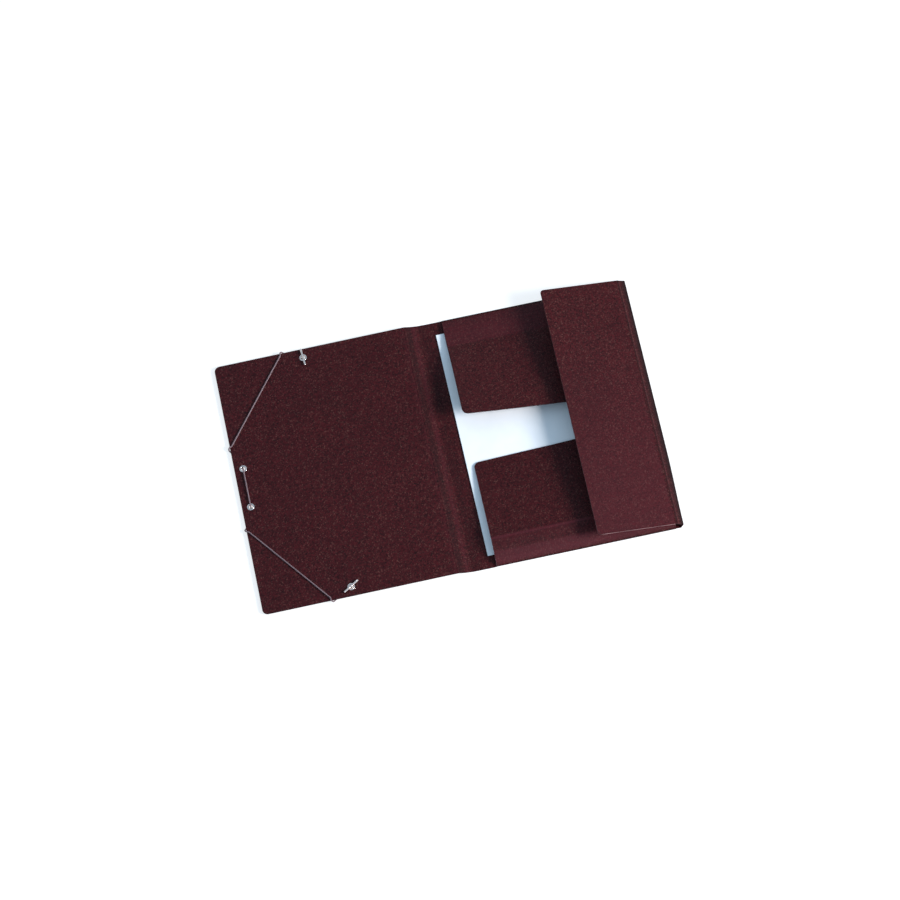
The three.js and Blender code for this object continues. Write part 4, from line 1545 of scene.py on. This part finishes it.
@dataclass
class PhotoCamera:
    """The camera that took the photograph, fitted to the folder's corners.

    Attributes:
        target: point that the fit looks past, in the row frame.
        azimuth: turn to the right of +Y, in degrees.
        elevation: height of the line of sight above the horizon, in degrees.
        roll: turn about the line of sight, in degrees.
        slide: shift to the camera's right and up.
        distance: distance from the target.
        focal_px: focal length in pixels of the photograph.
    """

    target: tuple[float, float, float] = (0.0019, 0.0, 0.0)
    azimuth: float = 4.68
    elevation: float = 66.16
    roll: float = -7.55
    slide: tuple[float, float] = (0.0046, -0.0033)
    distance: float = 5.119
    focal_px: float = 4021.0

    def build(self) -> None:
        """Makes the camera and sets it as the scene's."""
        azimuth, roll = math.radians(self.azimuth), math.radians(self.roll)
        forward = direction(self.azimuth, -self.elevation)
        level = Vector((math.cos(azimuth), -math.sin(azimuth), 0.0))
        rise = level.cross(forward)
        right = math.cos(roll) * level + math.sin(roll) * rise
        above = -math.sin(roll) * level + math.cos(roll) * rise
        slide = right * self.slide[0] + above * self.slide[1]
        place = Vector(self.target) - forward * self.distance + slide
        data = bpy.data.cameras.new("photo_camera")
        data.sensor_width = SENSOR_MM
        data.lens = SENSOR_MM * self.focal_px / PHOTO_SIDE_PX
        data.clip_start, data.clip_end = 0.1, 50.0
        camera = bpy.data.objects.new("photo_camera", data)
        rotation = Matrix((right, above, -forward)).transposed().to_4x4()
        camera.matrix_world = Matrix.Translation(place) @ rotation
        bpy.context.scene.collection.objects.link(camera)
        bpy.context.scene.camera = camera


@dataclass
class Studio:
    """A white floor that rises to a wall far out, a broad soft key light and a dim surround.

    Attributes:
        key_size: side of the square key light.
        key_power: its power in watts.
        key_distance: its distance from the folder's middle.
        key_azimuth: its turn from the front towards the right, in degrees.
        key_elevation: its height above the horizon, in degrees.
        surround_low: strength of the surround near the horizon.
        surround_high: strength of the surround overhead.
        surround_colour: its colour.
        floor_drop: gap between the folder and the floor.
        floor_reach: how far the flat floor goes.
        rise_radius: radius of the floor's turn into the wall.
        wall_height: height of the wall.
        floor_shade: the floor's own grey, which keeps its bounce under the card low.
        floor_lift: light that the floor adds where the camera sees it, so that it is white.
    """

    key_size: float = 1.3
    key_power: float = 216.0
    key_distance: float = 4.0
    key_azimuth: float = 64.0
    key_elevation: float = 31.0
    surround_low: float = 1.14
    surround_high: float = 0.5
    surround_colour: Colour = (0.58, 0.80, 1.0)
    floor_drop: float = 0.15 * MM
    floor_reach: float = 7.0
    rise_radius: float = 1.0
    wall_height: float = 3.0
    floor_shade: float = 0.42
    floor_lift: float = 0.7

    def floor(self) -> None:
        """The floor and wall, one profile turned about the vertical axis."""
        turn = np.linspace(0.0, math.pi / 2, 13)
        rise_out = self.floor_reach + self.rise_radius * np.sin(turn)
        rise = np.stack([rise_out, self.rise_radius * (1.0 - np.cos(turn))], axis=-1)
        top = np.array([[self.floor_reach + self.rise_radius, self.wall_height]])
        flat = np.stack([np.linspace(0.0, self.floor_reach, 8)[:-1], np.zeros(7)], axis=-1)
        material, build, shader = start_material("floor_white")
        path = build.add("ShaderNodeLightPath").outputs
        seen = build.math("MAXIMUM", path["Is Camera Ray"], path["Is Glossy Ray"])
        seen = build.math("MAXIMUM", seen, path["Is Transmission Ray"])
        looks = {
            "Base Color": (*[self.floor_shade] * 3, 1.0),
            "Roughness": 0.9,
            "Specular IOR Level": 0.1,
            "Emission Color": (1.0, 1.0, 1.0, 1.0),
            "Emission Strength": build.spread(seen, 0.0, 1.0, 0.0, self.floor_lift),
        }
        build.fill(shader, looks)
        place = Matrix.Translation((0.0, 0.0, -self.floor_drop))
        revolve("studio_floor", np.concatenate([flat, rise, top]), 48, material, place)

    def key(self) -> None:
        """The key light, from the right and a little in front."""
        away = direction(self.key_azimuth, self.key_elevation)
        away.y = -away.y
        data = bpy.data.lights.new("key", "AREA")
        data.shape = "SQUARE"
        data.size = self.key_size
        data.energy = self.key_power
        light = bpy.data.objects.new("key", data)
        light.location = away * self.key_distance
        light.rotation_mode = "QUATERNION"
        light.rotation_quaternion = away.to_track_quat("Z", "Y")
        bpy.context.scene.collection.objects.link(light)

    def world(self) -> None:
        """A surround that is dim overhead and pale towards the horizon."""
        world = bpy.data.worlds.new("surround")
        world.use_nodes = True
        build = NodeBuilder(world.node_tree)
        view = build.add("ShaderNodeTexCoord").outputs["Generated"]
        height = build.add("ShaderNodeSeparateXYZ", {"Vector": view}).outputs["Z"]
        strength = build.spread(height, 0.2, 1.0, self.surround_low, self.surround_high)
        looks = {"Color": (*self.surround_colour, 1.0), "Strength": strength}
        build.fill(world.node_tree.nodes["Background"], looks)
        bpy.context.scene.world = world

    def build(self) -> None:
        """Builds the floor, the key light and the surround."""
        self.floor()
        self.key()
        self.world()
        bpy.context.scene.view_settings.view_transform = "Standard"


def main() -> None:
    """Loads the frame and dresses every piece."""
    logging.basicConfig(level=logging.INFO, format="%(name)s: %(message)s")
    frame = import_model()
    PhotoCamera().build()
    Studio().build()
    joints = {joint["name"]: joint for joint in frame["joints"]}
    sizes = CardSizes()
    finishes = Finishes.make()
    line = FolderLine(sizes, joints)
    back_crease = joints["spine_fold"]["pos_m"]
    cover_crease = joints["cover_fold"]["pos_m"]
    tilt = float(line.line.headings[0])
    fittings = Fittings(sizes, finishes, (cover_crease[0], cover_crease[2]), tilt)
    flaps = FoldedFlaps(sizes, finishes, back_crease[0], back_crease[2] - sizes.thickness)
    Boards(sizes, line, finishes).build(fittings, flaps)
    flaps.build()
    low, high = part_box("paper_sheets")
    PaperStack(finishes, ((low.x + high.x) / 2, (low.y + high.y) / 2), low.z).build()
    fittings.build()


if __name__ == "__main__":
    main()
